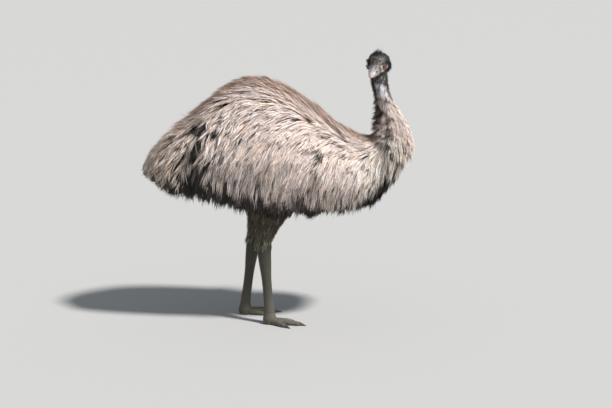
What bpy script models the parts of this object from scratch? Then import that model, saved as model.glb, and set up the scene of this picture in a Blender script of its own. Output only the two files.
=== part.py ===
"""A life-size emu standing on both feet, with its head turned to its right, as a museum model.

Metres, +Z up. X runs from the tail to the breast and Y to the bird's left. The origin is on the floor, under the
middle of the bird's box. The coat is built as flat tapered locks on a core; fine feathering is left off.
"""

import math

import bmesh
import bpy
import numpy as np
from mathutils import Matrix

GAP = 0.0004  # between pieces that meet face to face
SEED = 7

# The outer coat in profile, from the tail's tip to the top of the neck. Each station is a plane across the body:
# back x and z, belly x and z, half width, depth of the coat.
BODY = [
    (-0.602, 0.705, -0.585, 0.655, 0.045, 0.030),
    (-0.570, 0.770, -0.545, 0.622, 0.105, 0.055),
    (-0.500, 0.855, -0.490, 0.588, 0.155, 0.070),
    (-0.410, 0.930, -0.425, 0.570, 0.190, 0.070),
    (-0.300, 1.025, -0.345, 0.560, 0.218, 0.065),
    (-0.190, 1.100, -0.220, 0.525, 0.235, 0.060),
    (-0.060, 1.114, -0.080, 0.495, 0.245, 0.060),
    (0.065, 1.060, 0.060, 0.492, 0.240, 0.060),
    (0.175, 0.985, 0.190, 0.498, 0.222, 0.060),
    (0.275, 0.905, 0.310, 0.503, 0.197, 0.060),
    (0.360, 0.860, 0.425, 0.530, 0.170, 0.055),
    (0.408, 0.862, 0.515, 0.625, 0.145, 0.050),
    (0.426, 0.905, 0.585, 0.715, 0.120, 0.045),
    (0.432, 0.955, 0.603, 0.815, 0.098, 0.036),
    (0.431, 1.000, 0.565, 0.915, 0.072, 0.026),
    (0.425, 1.040, 0.518, 0.990, 0.050, 0.014),
    (0.416, 1.080, 0.492, 1.050, 0.040, 0.008),
    (0.412, 1.125, 0.486, 1.105, 0.037, 0.006),
    (0.420, 1.165, 0.480, 1.150, 0.030, 0.006),
]
TAIL_END, TORSO_END, BREAST_END, LOWER_NECK_END, NECK_END = 4.0, 9.6, 12.0, 14.4, 17.0
CORE_SHARE = 0.58  # the core's depth under the outer coat, as a share of the coat's depth
NECK_STUB_SHARE, NECK_CUT_REACH = 0.1, 0.065  # of the stub that joins the head to the neck
HANG_RISE = 0.35  # the body is this much narrower over its back than round its belly
RING_POINTS = 24
ROOT_SHARE = 1.05  # how deep a lock is rooted, as a share of the coat's depth
# Widths along a lock, as shares of its widest, from its root on; its tip is a point
LONG_LOCK, SHORT_LOCK, STUB_LOCK = (0.55, 1.0, 0.90, 0.52), (0.70, 1.0, 0.62), (0.90, 0.85)
SHORTEST_HANG = 0.55  # a lock that the hem leaves less of lies along the belly
UNDER_LENGTH = 0.75  # of a lock that lies along the belly, as a share of the others' length
LEG_CLEARANCE = 0.012

# The dark tuft under the belly: where its locks are rooted, the lowest point that they hang to
TUFT_STATIONS = (7.45, 7.75, 8.05, 8.35)
TUFT_TIP, TUFT_SPREAD, TUFT_RAGGED = (0.137, 0.0, 0.467), 0.012, 0.009
TUFT_WIDTH, TUFT_THICK = 0.052, 0.014

# How the coat turns from lying back along the spine (0) to hanging down (1): most of the turn comes over the upper
# side, between two shares of the way round, and the rest over the lower side, each by an amount for each station
LIE_UPPER, LIE_LOWER = (0.14, 0.52), (0.50, 0.95)
LIE_STATIONS = (1.5, 2.6, 3.9, 5.3)
LIE_MOST, LIE_MORE = (0.60, 0.70, 0.72, 0.56), (-0.10, -0.18, 0.03, 0.21)
NECK_LIE, NECK_START = 0.75, (10.5, 13.0)  # how much less it hangs up the neck, and over which stations it changes

SIDES = {"right": -1, "left": 1}
# Legs: the top of the thigh inside the body, the hock and the top of the foot, for each side.
THIGH_TOP = {"right": (0.010, -0.105, 0.640), "left": (-0.020, 0.105, 0.640)}
HOCK = {"right": (-0.064, -0.085, 0.372), "left": (-0.112, 0.080, 0.368)}
ANKLE = {"right": (-0.038, -0.085, 0.048), "left": (-0.155, 0.080, 0.048)}
FOOT_TURN = {"right": -14.0, "left": 8.0}  # degrees, towards the bird's left
# Half depth fore and aft and half width, from the top of each length to its foot
THIGH_SECTIONS = [(0.098, 0.076), (0.094, 0.074), (0.078, 0.062), (0.049, 0.042), (0.031, 0.027)]
TARSUS_SECTIONS = [(0.031, 0.027), (0.0275, 0.0215), (0.0210, 0.0165), (0.0200, 0.0160), (0.0225, 0.0200)]
ANKLE_SECTIONS = [(0.0225, 0.0200), (0.0270, 0.0240), (0.0300, 0.0265), (0.0270, 0.0240)]
ANKLE_SOLE = 0.004
# Rows of feathers round the thigh: where they start, as a share of its length, how long they are and how many
THIGH_LOCK_ROWS = [(0.60, 0.26, 9), (0.76, 0.25, 8)]
THIGH_LOCK_ROOT, THIGH_LOCK_STAND = -0.008, 0.007
THIGH_LOCK_WIDTH, THIGH_LOCK_THICK = 0.030, 0.004
SCUTES = 14
SCUTE_FRONT, SCUTE_REAR = 0.0013, 0.0024

# Toes: turn from the foot's line in degrees, towards the other foot, length, half width at the root
TOES = {"inner": (27.0, 0.092, 0.0150), "middle": (0.0, 0.140, 0.0175), "outer": (-29.0, 0.098, 0.0150)}
TOE_HEIGHTS = [0.030, 0.027, 0.024, 0.020, 0.017]
TOE_TAPER = 0.68
TOE_SCUTES = 5
CLAW_LENGTH = 0.034
CLAW_RADIUS = 0.0078
CLAW_DROOP = 0.0075

# The small wing lies along the flank: station and angle at the shoulder and at the wrist
WING_SHOULDER, WING_WRIST = (8.45, 1.22), (7.0, 1.82)
WING_DEPTH = 0.20  # of its middle, as a share of the coat's depth
WING_FEATHERS = (0.075, 0.095, 0.105, 0.110, 0.100, 0.080)  # their lengths from shoulder to wrist
WING_FEATHER_WIDTH, WING_FEATHER_THICK, WING_FEATHER_LIFT = 0.026, 0.005, 0.016
WING_FEATHER_FALL = (-0.45, 0.0, -0.90)
WING_ROOM = 0.0007  # between the wing and the coat that it lies in
WING_SECTIONS = [(0.017, 0.007), (0.026, 0.010), (0.024, 0.009), (0.018, 0.008), (0.009, 0.005)]  # half width, thickness

# The head: a point between the eyes, and the way that it faces
HEAD_AT = (0.440, -0.018, 1.156)
HEAD_TURN = -111.0  # degrees from straight ahead, to the bird's right
HEAD_DIP = 20.0  # degrees below level
EYE_RADIUS = 0.0150
EYE_AT = (0.0045, 0.0285, 0.0035)
EYE_TURN = 30.0  # degrees that each eye looks ahead of straight out to its side
# Sections of the head and bill, in the head's own frame: ahead, half width, top, bottom
HEAD_SECTIONS = [
    (-0.066, 0.004, 0.000, -0.008),
    (-0.059, 0.024, 0.020, -0.028),
    (-0.043, 0.0385, 0.036, -0.041),
    (-0.024, 0.0450, 0.043, -0.044),
    (-0.006, 0.0425, 0.042, -0.041),
    (0.008, 0.0360, 0.038, -0.038),
    (0.020, 0.0305, 0.032, -0.0345),
    (0.035, 0.0270, 0.0235, -0.0300),
    (0.050, 0.0245, 0.0170, -0.0255),
    (0.070, 0.0205, 0.0110, -0.0205),
    (0.088, 0.0140, 0.0040, -0.0165),
    (0.099, 0.0065, -0.0030, -0.0145),
]
HEAD_STATIONS = (-0.066, -0.063, -0.058, -0.049, -0.037, -0.024, -0.011, 0.003, 0.017)
UPPER_BILL_STATIONS = (0.046, 0.058, 0.070, 0.081, 0.091, 0.0985)
LOWER_BILL_STATIONS = (0.050, 0.066, 0.080, 0.0935)
BILL_BASE, BILL_TIP = 0.036, 0.1025
BILL_TIP_HEIGHT = -0.0120
GAPE = (0.010, -0.0210)  # ahead and height of the corner of the mouth
MOUTH_GAP = 0.0012
LOWER_BILL_SHORT, LOWER_BILL_NARROW = 0.004, 0.94
UPPER_TIP_RISE, LOWER_TIP_DROP = 0.0020, 0.0015  # of the tips of the two halves, from the bill's tip
NOSTRIL_AT = (0.069, 0.0170, 0.0030)
NOSTRIL_SIZE = (0.0070, 0.0030, 0.0026)
# The rim of the lids lies round the eye, this far out along its look
LID_OUT, LID_RING, LID_THICK, LID_SHAPE = 0.0093, 0.0118, 0.0026, (1.12, 0.94)
EAR_AT = (-0.032, 0.0415, -0.008)
EAR_RADIUS = 0.0050
EAR_RIM, EAR_RIM_THICK, EAR_RIM_SHAPE = 0.0012, 0.0017, (1.0, 1.15)
EAR_DEPTH, EAR_TALL = 0.006, 1.2
# Rows of crown feathers: how far ahead of the eyes, how many, and how far to each side of the top, in radians
CROWN_ROWS = [(0.008, 3, 0.7), (-0.014, 4, 1.1), (-0.037, 5, 1.5), (-0.055, 4, 2.0)]
CROWN_LENGTH, CROWN_WIDTH, CROWN_THICK = 0.024, 0.013, 0.0020
CROWN_ROOT, CROWN_STAND = -0.0035, 0.0065

CORE_ROWS = 1.6  # rows of a core's mesh per station
CUT_REACH = 1.6  # how far the block that trims a node at a station reaches

# The play between one lock and the next: its length and width, how far out its tip lies, where it ends at the hem
LENGTH_PLAY, WIDTH_PLAY = (0.78, 1.18), (0.75, 1.15)
TIP_PLAY, HEM_PLAY = (-0.08, 0.05), (-0.012, 0.022)
FLAT_UNDER = -0.7  # a lock whose root faces down more than this lies flat under the belly
FREE_UNDER, FALL = (0.05, 0.6), (-0.10, 0.0, -0.995)  # how far down the body faces where a lock falls free, and its way

SCUTE_LENGTH, TOE_SCUTE_LENGTH = 0.96, 0.92  # the raised share of each plate on the leg and on a toe
TOE_PAD = 0.06  # how much wider a toe is at its pads

COLOURS = {
    "coat": ((0.52, 0.42, 0.36), 0.9),
    "dark_coat": ((0.05, 0.045, 0.045), 0.9),
    "skin": ((0.32, 0.32, 0.36), 0.7),
    "leg": ((0.10, 0.09, 0.075), 0.65),
    "bill": ((0.42, 0.37, 0.36), 0.5),
    "claw": ((0.04, 0.04, 0.04), 0.45),
    "eye": ((0.40, 0.11, 0.015), 0.1),
}
rng = np.random.default_rng(SEED)


def material(name):
    """One plain material for each part of the bird, made once."""
    found = bpy.data.materials.get(name)
    if found:
        return found
    colour, roughness = COLOURS[name]
    made = bpy.data.materials.new(name)
    made.use_nodes = True
    shader = made.node_tree.nodes["Principled BSDF"]
    shader.inputs["Base Color"].default_value = (*colour, 1.0)
    shader.inputs["Roughness"].default_value = roughness
    shader.inputs["Metallic"].default_value = 0.0
    return made


def new_object(name, points, faces, finish, smooth=True):
    """A mesh object with its faces pointing out."""
    mesh = bpy.data.meshes.new(name)
    mesh.from_pydata([tuple(map(float, p)) for p in points], [], faces)
    shell = bmesh.new()
    shell.from_mesh(mesh)
    bmesh.ops.recalc_face_normals(shell, faces=shell.faces)
    bmesh.ops.triangulate(shell, faces=[f for f in shell.faces if len(f.verts) > 3])
    if shell.calc_volume(signed=True) < 0:
        bmesh.ops.reverse_faces(shell, faces=shell.faces)
    shell.to_mesh(mesh)
    shell.free()
    if smooth:
        mesh.shade_smooth()
        mesh.set_sharp_from_angle(angle=math.radians(50))
    mesh.materials.append(material(finish))
    obj = bpy.data.objects.new(name, mesh)
    bpy.context.scene.collection.objects.link(obj)
    return obj


def loft(name, rings, finish, tip=None):
    """A closed body through rings of points, each capped by a fan; tip, if given, is the point it ends in."""
    rings = np.asarray(rings, float)
    count, around = rings.shape[:2]
    points = list(rings.reshape(-1, 3))
    faces = []
    for i in range(count - 1):
        for j in range(around):
            k = (j + 1) % around
            a, b = i * around, (i + 1) * around
            faces.append((a + j, a + k, b + k, b + j))
    ends = [(0, rings[0].mean(axis=0)), (count - 1, rings[-1].mean(axis=0) if tip is None else np.asarray(tip))]
    for row, centre in ends:
        hub = len(points)
        points.append(centre)
        faces += [(row * around + j, row * around + (j + 1) % around, hub) for j in range(around)]
    return new_object(name, points, faces, finish)


def apply_boolean(obj, operation, other=None, group=None, solver="EXACT"):
    """Joins or cuts obj by one object or by a collection, and applies it."""
    change = obj.modifiers.new("join", "BOOLEAN")
    change.operation = operation
    change.solver = solver
    if group is None:
        change.object = other
    else:
        change.operand_type = "COLLECTION"
        change.collection = group
    graph = bpy.context.evaluated_depsgraph_get()
    made = bpy.data.meshes.new_from_object(obj.evaluated_get(graph))
    obj.modifiers.clear()
    old, obj.data = obj.data, made
    bpy.data.meshes.remove(old)


def remove(obj):
    mesh = obj.data
    bpy.data.objects.remove(obj)
    bpy.data.meshes.remove(mesh)


def unite(obj, pieces, solver="MANIFOLD"):
    """Fuses the pieces into obj by one union, then takes them away."""
    if not pieces:
        return
    group = bpy.data.collections.new("pieces")
    bpy.context.scene.collection.children.link(group)
    for piece in pieces:
        bpy.context.scene.collection.objects.unlink(piece)
        group.objects.link(piece)
    apply_boolean(obj, "UNION", group=group, solver=solver)
    for piece in list(group.objects):
        remove(piece)
    bpy.data.collections.remove(group)


def cut(obj, cutter, solver="MANIFOLD"):
    apply_boolean(obj, "DIFFERENCE", other=cutter, solver=solver)
    remove(cutter)


def keep_largest(obj):
    """Leaves only the closed surface that holds the most."""
    shell = bmesh.new()
    shell.from_mesh(obj.data)
    left, best, most = set(shell.verts), None, -1.0
    while left:
        found, todo = set(), [left.pop()]
        while todo:
            vert = todo.pop()
            found.add(vert)
            for edge in vert.link_edges:
                other = edge.other_vert(vert)
                if other in left:
                    left.discard(other)
                    todo.append(other)
        size = np.ptp(np.array([v.co for v in found]), axis=0).prod()
        if size > most:
            best, most = found, size
    bmesh.ops.delete(shell, geom=[v for v in shell.verts if v not in best], context="VERTS")
    shell.to_mesh(obj.data)
    shell.free()


def unit(vectors):
    return vectors / np.maximum(np.linalg.norm(vectors, axis=-1, keepdims=True), 1e-12)


def along_rows(rows, t):
    """Rows of numbers read at t, a station number with a share, on a Catmull-Rom curve."""
    rows = np.asarray(rows, float)
    t = np.asarray(t, float)
    last = len(rows) - 1
    i = np.clip(np.floor(t).astype(int), 0, last - 1)
    f = (t - i)[..., None]
    before, here, after, beyond = (rows[np.clip(i + k, 0, last)] for k in (-1, 0, 1, 2))
    bend = 2 * before - 5 * here + 4 * after - beyond
    turn = 3 * (here - after) + beyond - before
    return here + 0.5 * f * ((after - before) + f * (bend + f * turn))


def body_point(u, v, share):
    """Points at station u and angle v round the body, share of the coat's depth under its outside.

    Angle 0 is the back, a quarter turn the right side, a half turn the belly.
    """
    u, v, share = np.broadcast_arrays(*(np.asarray(a, float) for a in (u, v, share)))
    row = along_rows(BODY, np.clip(u, 0, len(BODY) - 1))
    back, belly, half_width, coat = row[..., 0:2], row[..., 2:4], row[..., 4], row[..., 5]
    rise = (back - belly) / 2
    tall = np.linalg.norm(rise, axis=-1)
    up = np.cos(v) * (1 - share * coat / tall)
    on_neck = np.clip((u - 10.0) / 3.0, 0, 1)
    hang = HANG_RISE * (1 - on_neck) * 0.5
    side = np.sin(v) * (1 - hang * np.cos(v)) * (half_width - share * coat)
    middle = (back + belly) / 2 + rise * up[..., None]
    return np.stack([middle[..., 0], -side, middle[..., 1]], axis=-1)


def body_frame(u, v, share):
    """The surface's change with u and with v, and its outward normal."""
    step = 1e-3
    by_u = (body_point(u + step, v, share) - body_point(u - step, v, share)) / (2 * step)
    by_v = (body_point(u, v + step, share) - body_point(u, v - step, share)) / (2 * step)
    return by_u, by_v, unit(np.cross(by_v, by_u))


def smooth(x, low, high):
    t = np.clip((np.asarray(x, float) - low) / (high - low), 0, 1)
    return t * t * (3 - 2 * t)


def coat_lie(u, v, by_u):
    """The way the coat lies: back along the spine, and down over the sides."""
    side = np.abs(np.sin(v / 2))  # 0 at the back, 1 at the belly
    droop = smooth(side, *LIE_UPPER) * np.interp(u, LIE_STATIONS, LIE_MOST)
    droop = droop + smooth(side, *LIE_LOWER) * np.interp(u, LIE_STATIONS, LIE_MORE)
    droop = droop * (1 - NECK_LIE * smooth(u, *NECK_START))
    backward = -unit(by_u)
    down = np.zeros_like(backward)
    down[..., 2] = -1.0
    return unit(backward * (1 - droop)[..., None] + down * droop[..., None])


def leg_lines():
    """The lines that the coat hangs clear of: start, end, radius at each."""
    lines = []
    for side in SIDES:
        top, hock = np.array(THIGH_TOP[side]), np.array(HOCK[side])
        lines.append((top, hock, THIGH_SECTIONS[0][0], THIGH_SECTIONS[-1][0]))
    return lines


def push_clear(points, clear):
    """Moves points that would lie in a thigh out to its side."""
    for start, end, wide, narrow in leg_lines():
        line = end - start
        t = np.clip((points - start) @ line / (line @ line), 0, 1)
        off = points - (start + t[..., None] * line)
        far = np.linalg.norm(off, axis=-1)
        need = wide + (narrow - wide) * t + clear
        move = np.maximum(need - far, 0) * (far > 1e-6)
        points = points + unit(off) * move[..., None]
    return points


def hem(x):
    """The height that the coat hangs down to at x."""
    rows = np.array(BODY[:13])
    return np.interp(x, rows[:, 2], rows[:, 3])


def lock_paths(u, v, length, steps, root_share, tip_share, swing, hang=1.0):
    """Points, normals and stations along locks that start at (u, v): sunk root first, free tip last.

    Under the belly a lock with hang 1 falls free, and one with hang 0 lies along the body.
    """
    points, normals, stations = [], [], []
    place = body_point(u, v, root_share)
    on_body = place
    for i in range(steps + 1):
        t = i / steps
        by_u, by_v, normal = body_frame(u, v, 0.0)
        points.append(push_clear(place, LEG_CLEARANCE) if i > 1 else place)
        normals.append(normal)
        stations.append(u)
        lie = coat_lie(u, v, by_u)
        lie = unit(lie + np.cross(normal, lie) * (swing * (0.4 + t))[..., None])
        # the step over the surface: the two rates that come closest to the lie
        a, b, c = (by_u * by_u).sum(-1), (by_u * by_v).sum(-1), (by_v * by_v).sum(-1)
        p, q = (lie * by_u).sum(-1), (lie * by_v).sum(-1)
        under = a * c - b * b
        stride = length / steps
        u = np.clip(u + stride * (p * c - q * b) / under, 0.0, len(BODY) - 1)
        v = v + stride * (a * q - b * p) / under
        share = root_share + (tip_share - root_share) * ((i + 1) / steps) ** 0.8
        next_on_body = body_point(u, v, share)
        free = (hang * smooth(-normal[..., 2], *FREE_UNDER))[..., None]
        fall = np.array(FALL) * stride[..., None]
        place = place + (next_on_body - on_body) * (1 - free) + fall * free
        on_body = next_on_body
    return np.array(points), np.array(normals), np.array(stations)


def blade_rings(path, normals, width, thick, widths):
    """Three-sided rings along one path, flat below and ridged above, a share of the width at each."""
    ahead = unit(np.gradient(path, axis=0))
    across = unit(np.cross(ahead, normals))
    up = np.cross(across, ahead)
    rings = []
    for i, share in enumerate(widths):
        w, t = width * share / 2, thick * (0.5 + 0.5 * share)
        rings.append([path[i] + across[i] * w, path[i] + up[i] * t, path[i] - across[i] * w])
    return np.array(rings)


def draw_locks(coat):
    """The locks of one stretch of the coat: rings, tip and stations of each."""
    u, v = coat_starts(coat["rows"], coat["spacing"])
    count = len(u)
    length = coat["length"] * rng.uniform(*LENGTH_PLAY, count)
    width = coat["width"] * rng.uniform(*WIDTH_PLAY, count)
    swing = rng.uniform(-coat["swing"], coat["swing"], count)
    tip_share = coat["tip_share"] + rng.uniform(*TIP_PLAY, count)
    ragged = rng.uniform(*HEM_PLAY, count)
    steps = len(coat["widths"])
    points, _, _ = lock_paths(u, v, length, steps, ROOT_SHARE, tip_share, swing)
    start, tip = points[0, :, 2], points[-1, :, 2]
    room = start - hem(points[-1, :, 0]) - ragged
    fit = np.clip(room / np.maximum(start - tip, 1e-6), 0, 1)
    if coat["last"] > BREAST_END:
        fit[:] = 1.0
    hang = (fit > SHORTEST_HANG).astype(float)
    length = length * np.where(hang > 0, fit, UNDER_LENGTH)
    points, normals, stations = lock_paths(u, v, length, steps, ROOT_SHARE, tip_share, swing, hang)
    # flat under the belly every other lock is enough
    wanted = (hang > 0) | (normals[0, :, 2] > FLAT_UNDER) | (np.arange(count) % 2 > 0)
    drawn = []
    for n in np.flatnonzero(wanted):
        rings = blade_rings(points[:, n], normals[:, n], width[n], coat["thick"], coat["widths"])
        drawn.append((rings, points[-1, n], stations[:, n]))
    return drawn


def ring_angles(u, shares):
    """The length of the ring round the body at station u, and the angles at the given shares of it."""
    angles = np.linspace(0, 2 * math.pi, 97)
    along = np.linalg.norm(np.diff(body_point(float(u), angles, 0.5), axis=0), axis=1).cumsum()
    return along[-1], np.interp(np.asarray(shares) % 1.0 * along[-1], [0.0, *along], angles)


def coat_starts(stations, spacing):
    """Starting places over the body, staggered both along it and round it, with a little play in each."""
    places = []
    step = stations[1] - stations[0]
    for row, u in enumerate(stations):
        length, _ = ring_angles(u, 0.0)
        count = 2 * max(2, round(length / spacing / 2))
        shares = (np.arange(count) + 0.5 * (row % 2) + 0.25 + rng.uniform(-0.2, 0.2, count)) / count
        _, angles = ring_angles(u, shares)
        for i, angle in enumerate(angles):
            places.append((u + step * (0.5 * (i % 2) + rng.uniform(-0.12, 0.12)), angle))
    return np.array(places).T


def core(name, first, last, share=CORE_SHARE, finish="coat"):
    """The core of the body between two stations, drawn in by half a gap at each cut end."""
    count = max(3, round((last - first) * CORE_ROWS)) + 1
    angles = np.arange(RING_POINTS) * 2 * math.pi / RING_POINTS
    stations = np.linspace(first, last, count)
    rings = [body_point(u, angles, share) for u in stations]
    if first > 0:
        rings[0] = rings[0] + station_normal(first) * GAP / 2
    rings[-1] = rings[-1] - station_normal(last) * GAP / 2
    return loft(name, rings, finish)


def station_normal(u):
    """The unit normal of the station's plane, pointing to the head."""
    row = along_rows(BODY, u)
    rise = unit(row[0:2] - row[2:4])
    return np.array([rise[1], 0.0, -rise[0]])


def half_space(u, side, reach=CUT_REACH):
    """A large block that fills all that lies past the station's plane, towards the head (1) or the tail (-1)."""
    row = along_rows(BODY, u)
    rise = row[0:2] - row[2:4]
    normal = station_normal(u) * side
    up = unit(np.array([rise[0], 0.0, rise[1]]))
    centre = np.array([(row[0] + row[2]) / 2, 0.0, (row[1] + row[3]) / 2])
    near = centre - normal * GAP / 2
    across = np.array([0.0, 1.0, 0.0])
    corners = [near + up * a * reach + across * b * reach for a, b in ((-1, -1), (1, -1), (1, 1), (-1, 1))]
    far = [c + normal * reach for c in corners]
    faces = [(0, 1, 2, 3), (4, 5, 6, 7), (0, 1, 5, 4), (1, 2, 6, 5), (2, 3, 7, 6), (3, 0, 4, 7)]
    return new_object("cutter", corners + far, faces, "coat", smooth=False)


# The coat in stretches, each of one size of lock, from the tail to the top of the neck
COATS = {
    "tail": {
        "first": 0.0,
        "last": TAIL_END,
        "rows": [4.1, 3.3, 2.5, 1.7, 0.9],
        "spacing": 0.100,
        "length": 0.200,
        "width": 0.078,
        "thick": 0.009,
        "tip_share": 0.02,
        "widths": SHORT_LOCK,
        "swing": 0.22,
    },
    "torso": {
        "first": TAIL_END,
        "last": TORSO_END,
        "rows": [4.75, 5.5, 6.25, 7.0, 7.75, 8.5, 9.25],
        "spacing": 0.112,
        "length": 0.240,
        "width": 0.104,
        "thick": 0.011,
        "tip_share": 0.03,
        "widths": LONG_LOCK,
        "swing": 0.20,
    },
    "breast": {
        "first": TORSO_END,
        "last": BREAST_END,
        "rows": [10.0, 10.7, 11.4],
        "spacing": 0.098,
        "length": 0.180,
        "width": 0.068,
        "thick": 0.009,
        "tip_share": 0.03,
        "widths": SHORT_LOCK,
        "swing": 0.18,
    },
    "neck_lower": {
        "first": BREAST_END,
        "last": LOWER_NECK_END,
        "rows": [12.1, 12.65, 13.2, 13.75],
        "spacing": 0.072,
        "length": 0.105,
        "width": 0.042,
        "thick": 0.006,
        "tip_share": -0.20,
        "widths": SHORT_LOCK,
        "swing": 0.22,
    },
    "neck_upper": {
        "first": LOWER_NECK_END,
        "last": NECK_END,
        "rows": [14.3, 14.9, 15.5, 16.1],
        "spacing": 0.054,
        "length": 0.050,
        "width": 0.024,
        "thick": 0.0035,
        "tip_share": -0.55,
        "widths": STUB_LOCK,
        "swing": 0.25,
    },
}


def belly_tuft():
    """Locks of the dark tuft that hangs lowest, in the middle of the belly ahead of the legs."""
    made = []
    for i, station in enumerate(TUFT_STATIONS):
        root = body_point(station, math.pi, ROOT_SHARE)
        tip = np.array(TUFT_TIP) + TUFT_SPREAD * (i - (len(TUFT_STATIONS) - 1) / 2) * np.array([1.0, 0.3, 0.0])
        tip[2] += TUFT_RAGGED * (i % 2)
        steps = np.linspace(0, 1, len(SHORT_LOCK) + 1)[:, None]
        path = root + (tip - root) * steps
        normals = np.tile([0.2 * (-1) ** i, -1.0, 0.0], (len(path), 1))
        made.append(loft("tuft", blade_rings(path, normals, TUFT_WIDTH, TUFT_THICK, SHORT_LOCK), "coat", tip=path[-1]))
    return made


def build_body_lengths():
    """Tail, torso, breast and the two lengths of the neck, each a core with the locks that lie over it."""
    drawn = [lock for coat in COATS.values() for lock in draw_locks(coat)]
    made = {}
    for name, coat in COATS.items():
        first, last = coat["first"], coat["last"]
        body = core(name, first, last)
        here = [lock for lock in drawn if lock[2].max() > first and lock[2][:2].min() < last]
        locks = [loft("lock", rings, "coat", tip=tip) for rings, tip, _ in here]
        unite(body, locks + (belly_tuft() if name == "torso" else []))
        if first > 0:
            cut(body, half_space(first, -1))
        cut(body, half_space(last, 1))
        keep_largest(body)
        made[name] = body
    return made


def limb_rings(top, foot, sections, around, count, grow=0.0):
    """Level rings from top to foot."""
    top, foot = np.array(top), np.array(foot)
    angles = np.arange(around) * 2 * math.pi / around
    rings = []
    for share in np.linspace(0, 1, count):
        deep, wide = along_rows(sections, share * (len(sections) - 1)) + grow
        middle = top + (foot - top) * share
        x, y = deep * np.cos(angles), wide * np.sin(angles)
        rings.append(np.stack([middle[0] + x, middle[1] + y, np.full(around, middle[2])], axis=-1))
    return np.array(rings)


def thigh_rings(side, grow=0.0):
    hock = np.array(HOCK[side])
    hock[2] += GAP / 2 - grow
    return limb_rings(THIGH_TOP[side], hock, THIGH_SECTIONS, 14, 8, grow)


def limb_locks(side):
    """Short feathers round the lower thigh, the last row hanging over the hock."""
    top, hock = np.array(THIGH_TOP[side]), np.array(HOCK[side])
    made = []
    for row, (start, length, count) in enumerate(THIGH_LOCK_ROWS):
        for i in range(count):
            angle = 2 * math.pi * (i + 0.5 * row + rng.uniform(-0.15, 0.15)) / count
            share = start + rng.uniform(-0.02, 0.02) + length * np.linspace(0, 1, 3) * rng.uniform(0.85, 1.1)
            deep, wide = along_rows(THIGH_SECTIONS, np.clip(share, 0, 1) * (len(THIGH_SECTIONS) - 1)).T
            off = THIGH_LOCK_ROOT + (THIGH_LOCK_STAND - THIGH_LOCK_ROOT) * np.linspace(0, 1, 3) ** 0.7
            path = top + (hock - top) * share[:, None]
            path[:, 0] += (deep + off) * math.cos(angle)
            path[:, 1] += (wide + off) * math.sin(angle)
            outward = unit(np.array([math.cos(angle), math.sin(angle), 0.2]))
            rings = blade_rings(path, np.tile(outward, (3, 1)), THIGH_LOCK_WIDTH, THIGH_LOCK_THICK, STUB_LOCK)
            made.append(loft("lock", rings, "coat", tip=path[-1]))
    return made


def scute_relief(angles, share):
    """Broad plates down the front of the leg and a toothed row down its back, each standing out at its lower edge."""
    step = (share * SCUTES) % 1.0 if share < 1 else 0.0
    front = smooth(np.cos(angles), 0.2, 0.8) * SCUTE_FRONT
    rear = smooth(-np.cos(angles), 0.6, 0.95) * SCUTE_REAR
    return (front + rear) * step


def build_leg(side):
    """Thigh, shank, foot with three toes, and a claw on each."""
    thigh = loft(f"thigh_{side}", thigh_rings(side), "coat")
    unite(thigh, limb_locks(side))
    keep_largest(thigh)
    top, foot = np.array(HOCK[side]), np.array(ANKLE[side])
    top[2] -= GAP / 2
    foot[2] += GAP / 2
    around = 11
    whole = []
    for i in range(SCUTES):
        for step in (0.0, SCUTE_LENGTH):
            share = (i + step) / SCUTES
            deep, wide = along_rows(TARSUS_SECTIONS, share * (len(TARSUS_SECTIONS) - 1))
            whole.append((share, deep, wide))
    whole.append((1.0, *TARSUS_SECTIONS[-1]))
    angles = np.arange(around) * 2 * math.pi / around
    rings = []
    for share, deep, wide in whole:
        raised = scute_relief(angles, share)
        middle = top + (foot - top) * share
        x, y = (deep + raised) * np.cos(angles), (wide + raised) * np.sin(angles)
        rings.append(np.stack([middle[0] + x, middle[1] + y, np.full(around, middle[2])], axis=-1))
    loft(f"tarsus_{side}", rings, "leg")

    ankle_foot = np.array(ANKLE[side])
    ankle_foot[2] = ANKLE_SOLE
    sole = loft(f"foot_{side}", limb_rings(ANKLE[side], ankle_foot, ANKLE_SECTIONS, 12, 5), "leg")
    toes = []
    for toe, (turn, length, half_width) in TOES.items():
        heading = math.radians(FOOT_TURN[side] - SIDES[side] * turn)
        start = np.array([*ANKLE[side][:2], 0.0])
        ahead = np.array([math.cos(heading), math.sin(heading), 0.0])
        across = np.array([-ahead[1], ahead[0], 0.0])
        toes.append(loft("toe", toe_rings(start, ahead, across, length, half_width), "leg"))
        loft(f"claw_{side}_{toe}", *claw_rings(start, ahead, across, length))
    unite(sole, toes, solver="EXACT")
    keep_largest(sole)


def toe_rings(start, ahead, across, length, half_width):
    """Rings along a toe with a flat sole, plates over its top and a swelling at each pad."""
    around = 10
    angles = np.arange(around) * 2 * math.pi / around
    rings = []
    for i in range(TOE_SCUTES):
        for step in (0.0, TOE_SCUTE_LENGTH):
            share = min((i + step) / (TOE_SCUTES - 1 + TOE_SCUTE_LENGTH), 1.0)
            height = along_rows(TOE_HEIGHTS, share * (len(TOE_HEIGHTS) - 1))
            pad = 1 + TOE_PAD * math.cos(2 * math.pi * share * 3)
            wide = half_width * (1 - (1 - TOE_TAPER) * share) * pad
            plate = SCUTE_FRONT * step * smooth(np.cos(angles), 0.2, 0.9)
            y = wide * np.sin(angles)
            z = np.maximum(height * (0.44 + 0.56 * np.cos(angles)) + plate, 0.0)
            middle = start + ahead * (length * share)
            rings.append(middle + across * y[:, None] + np.array([0, 0, 1.0]) * z[:, None])
    return np.array(rings)


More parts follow.
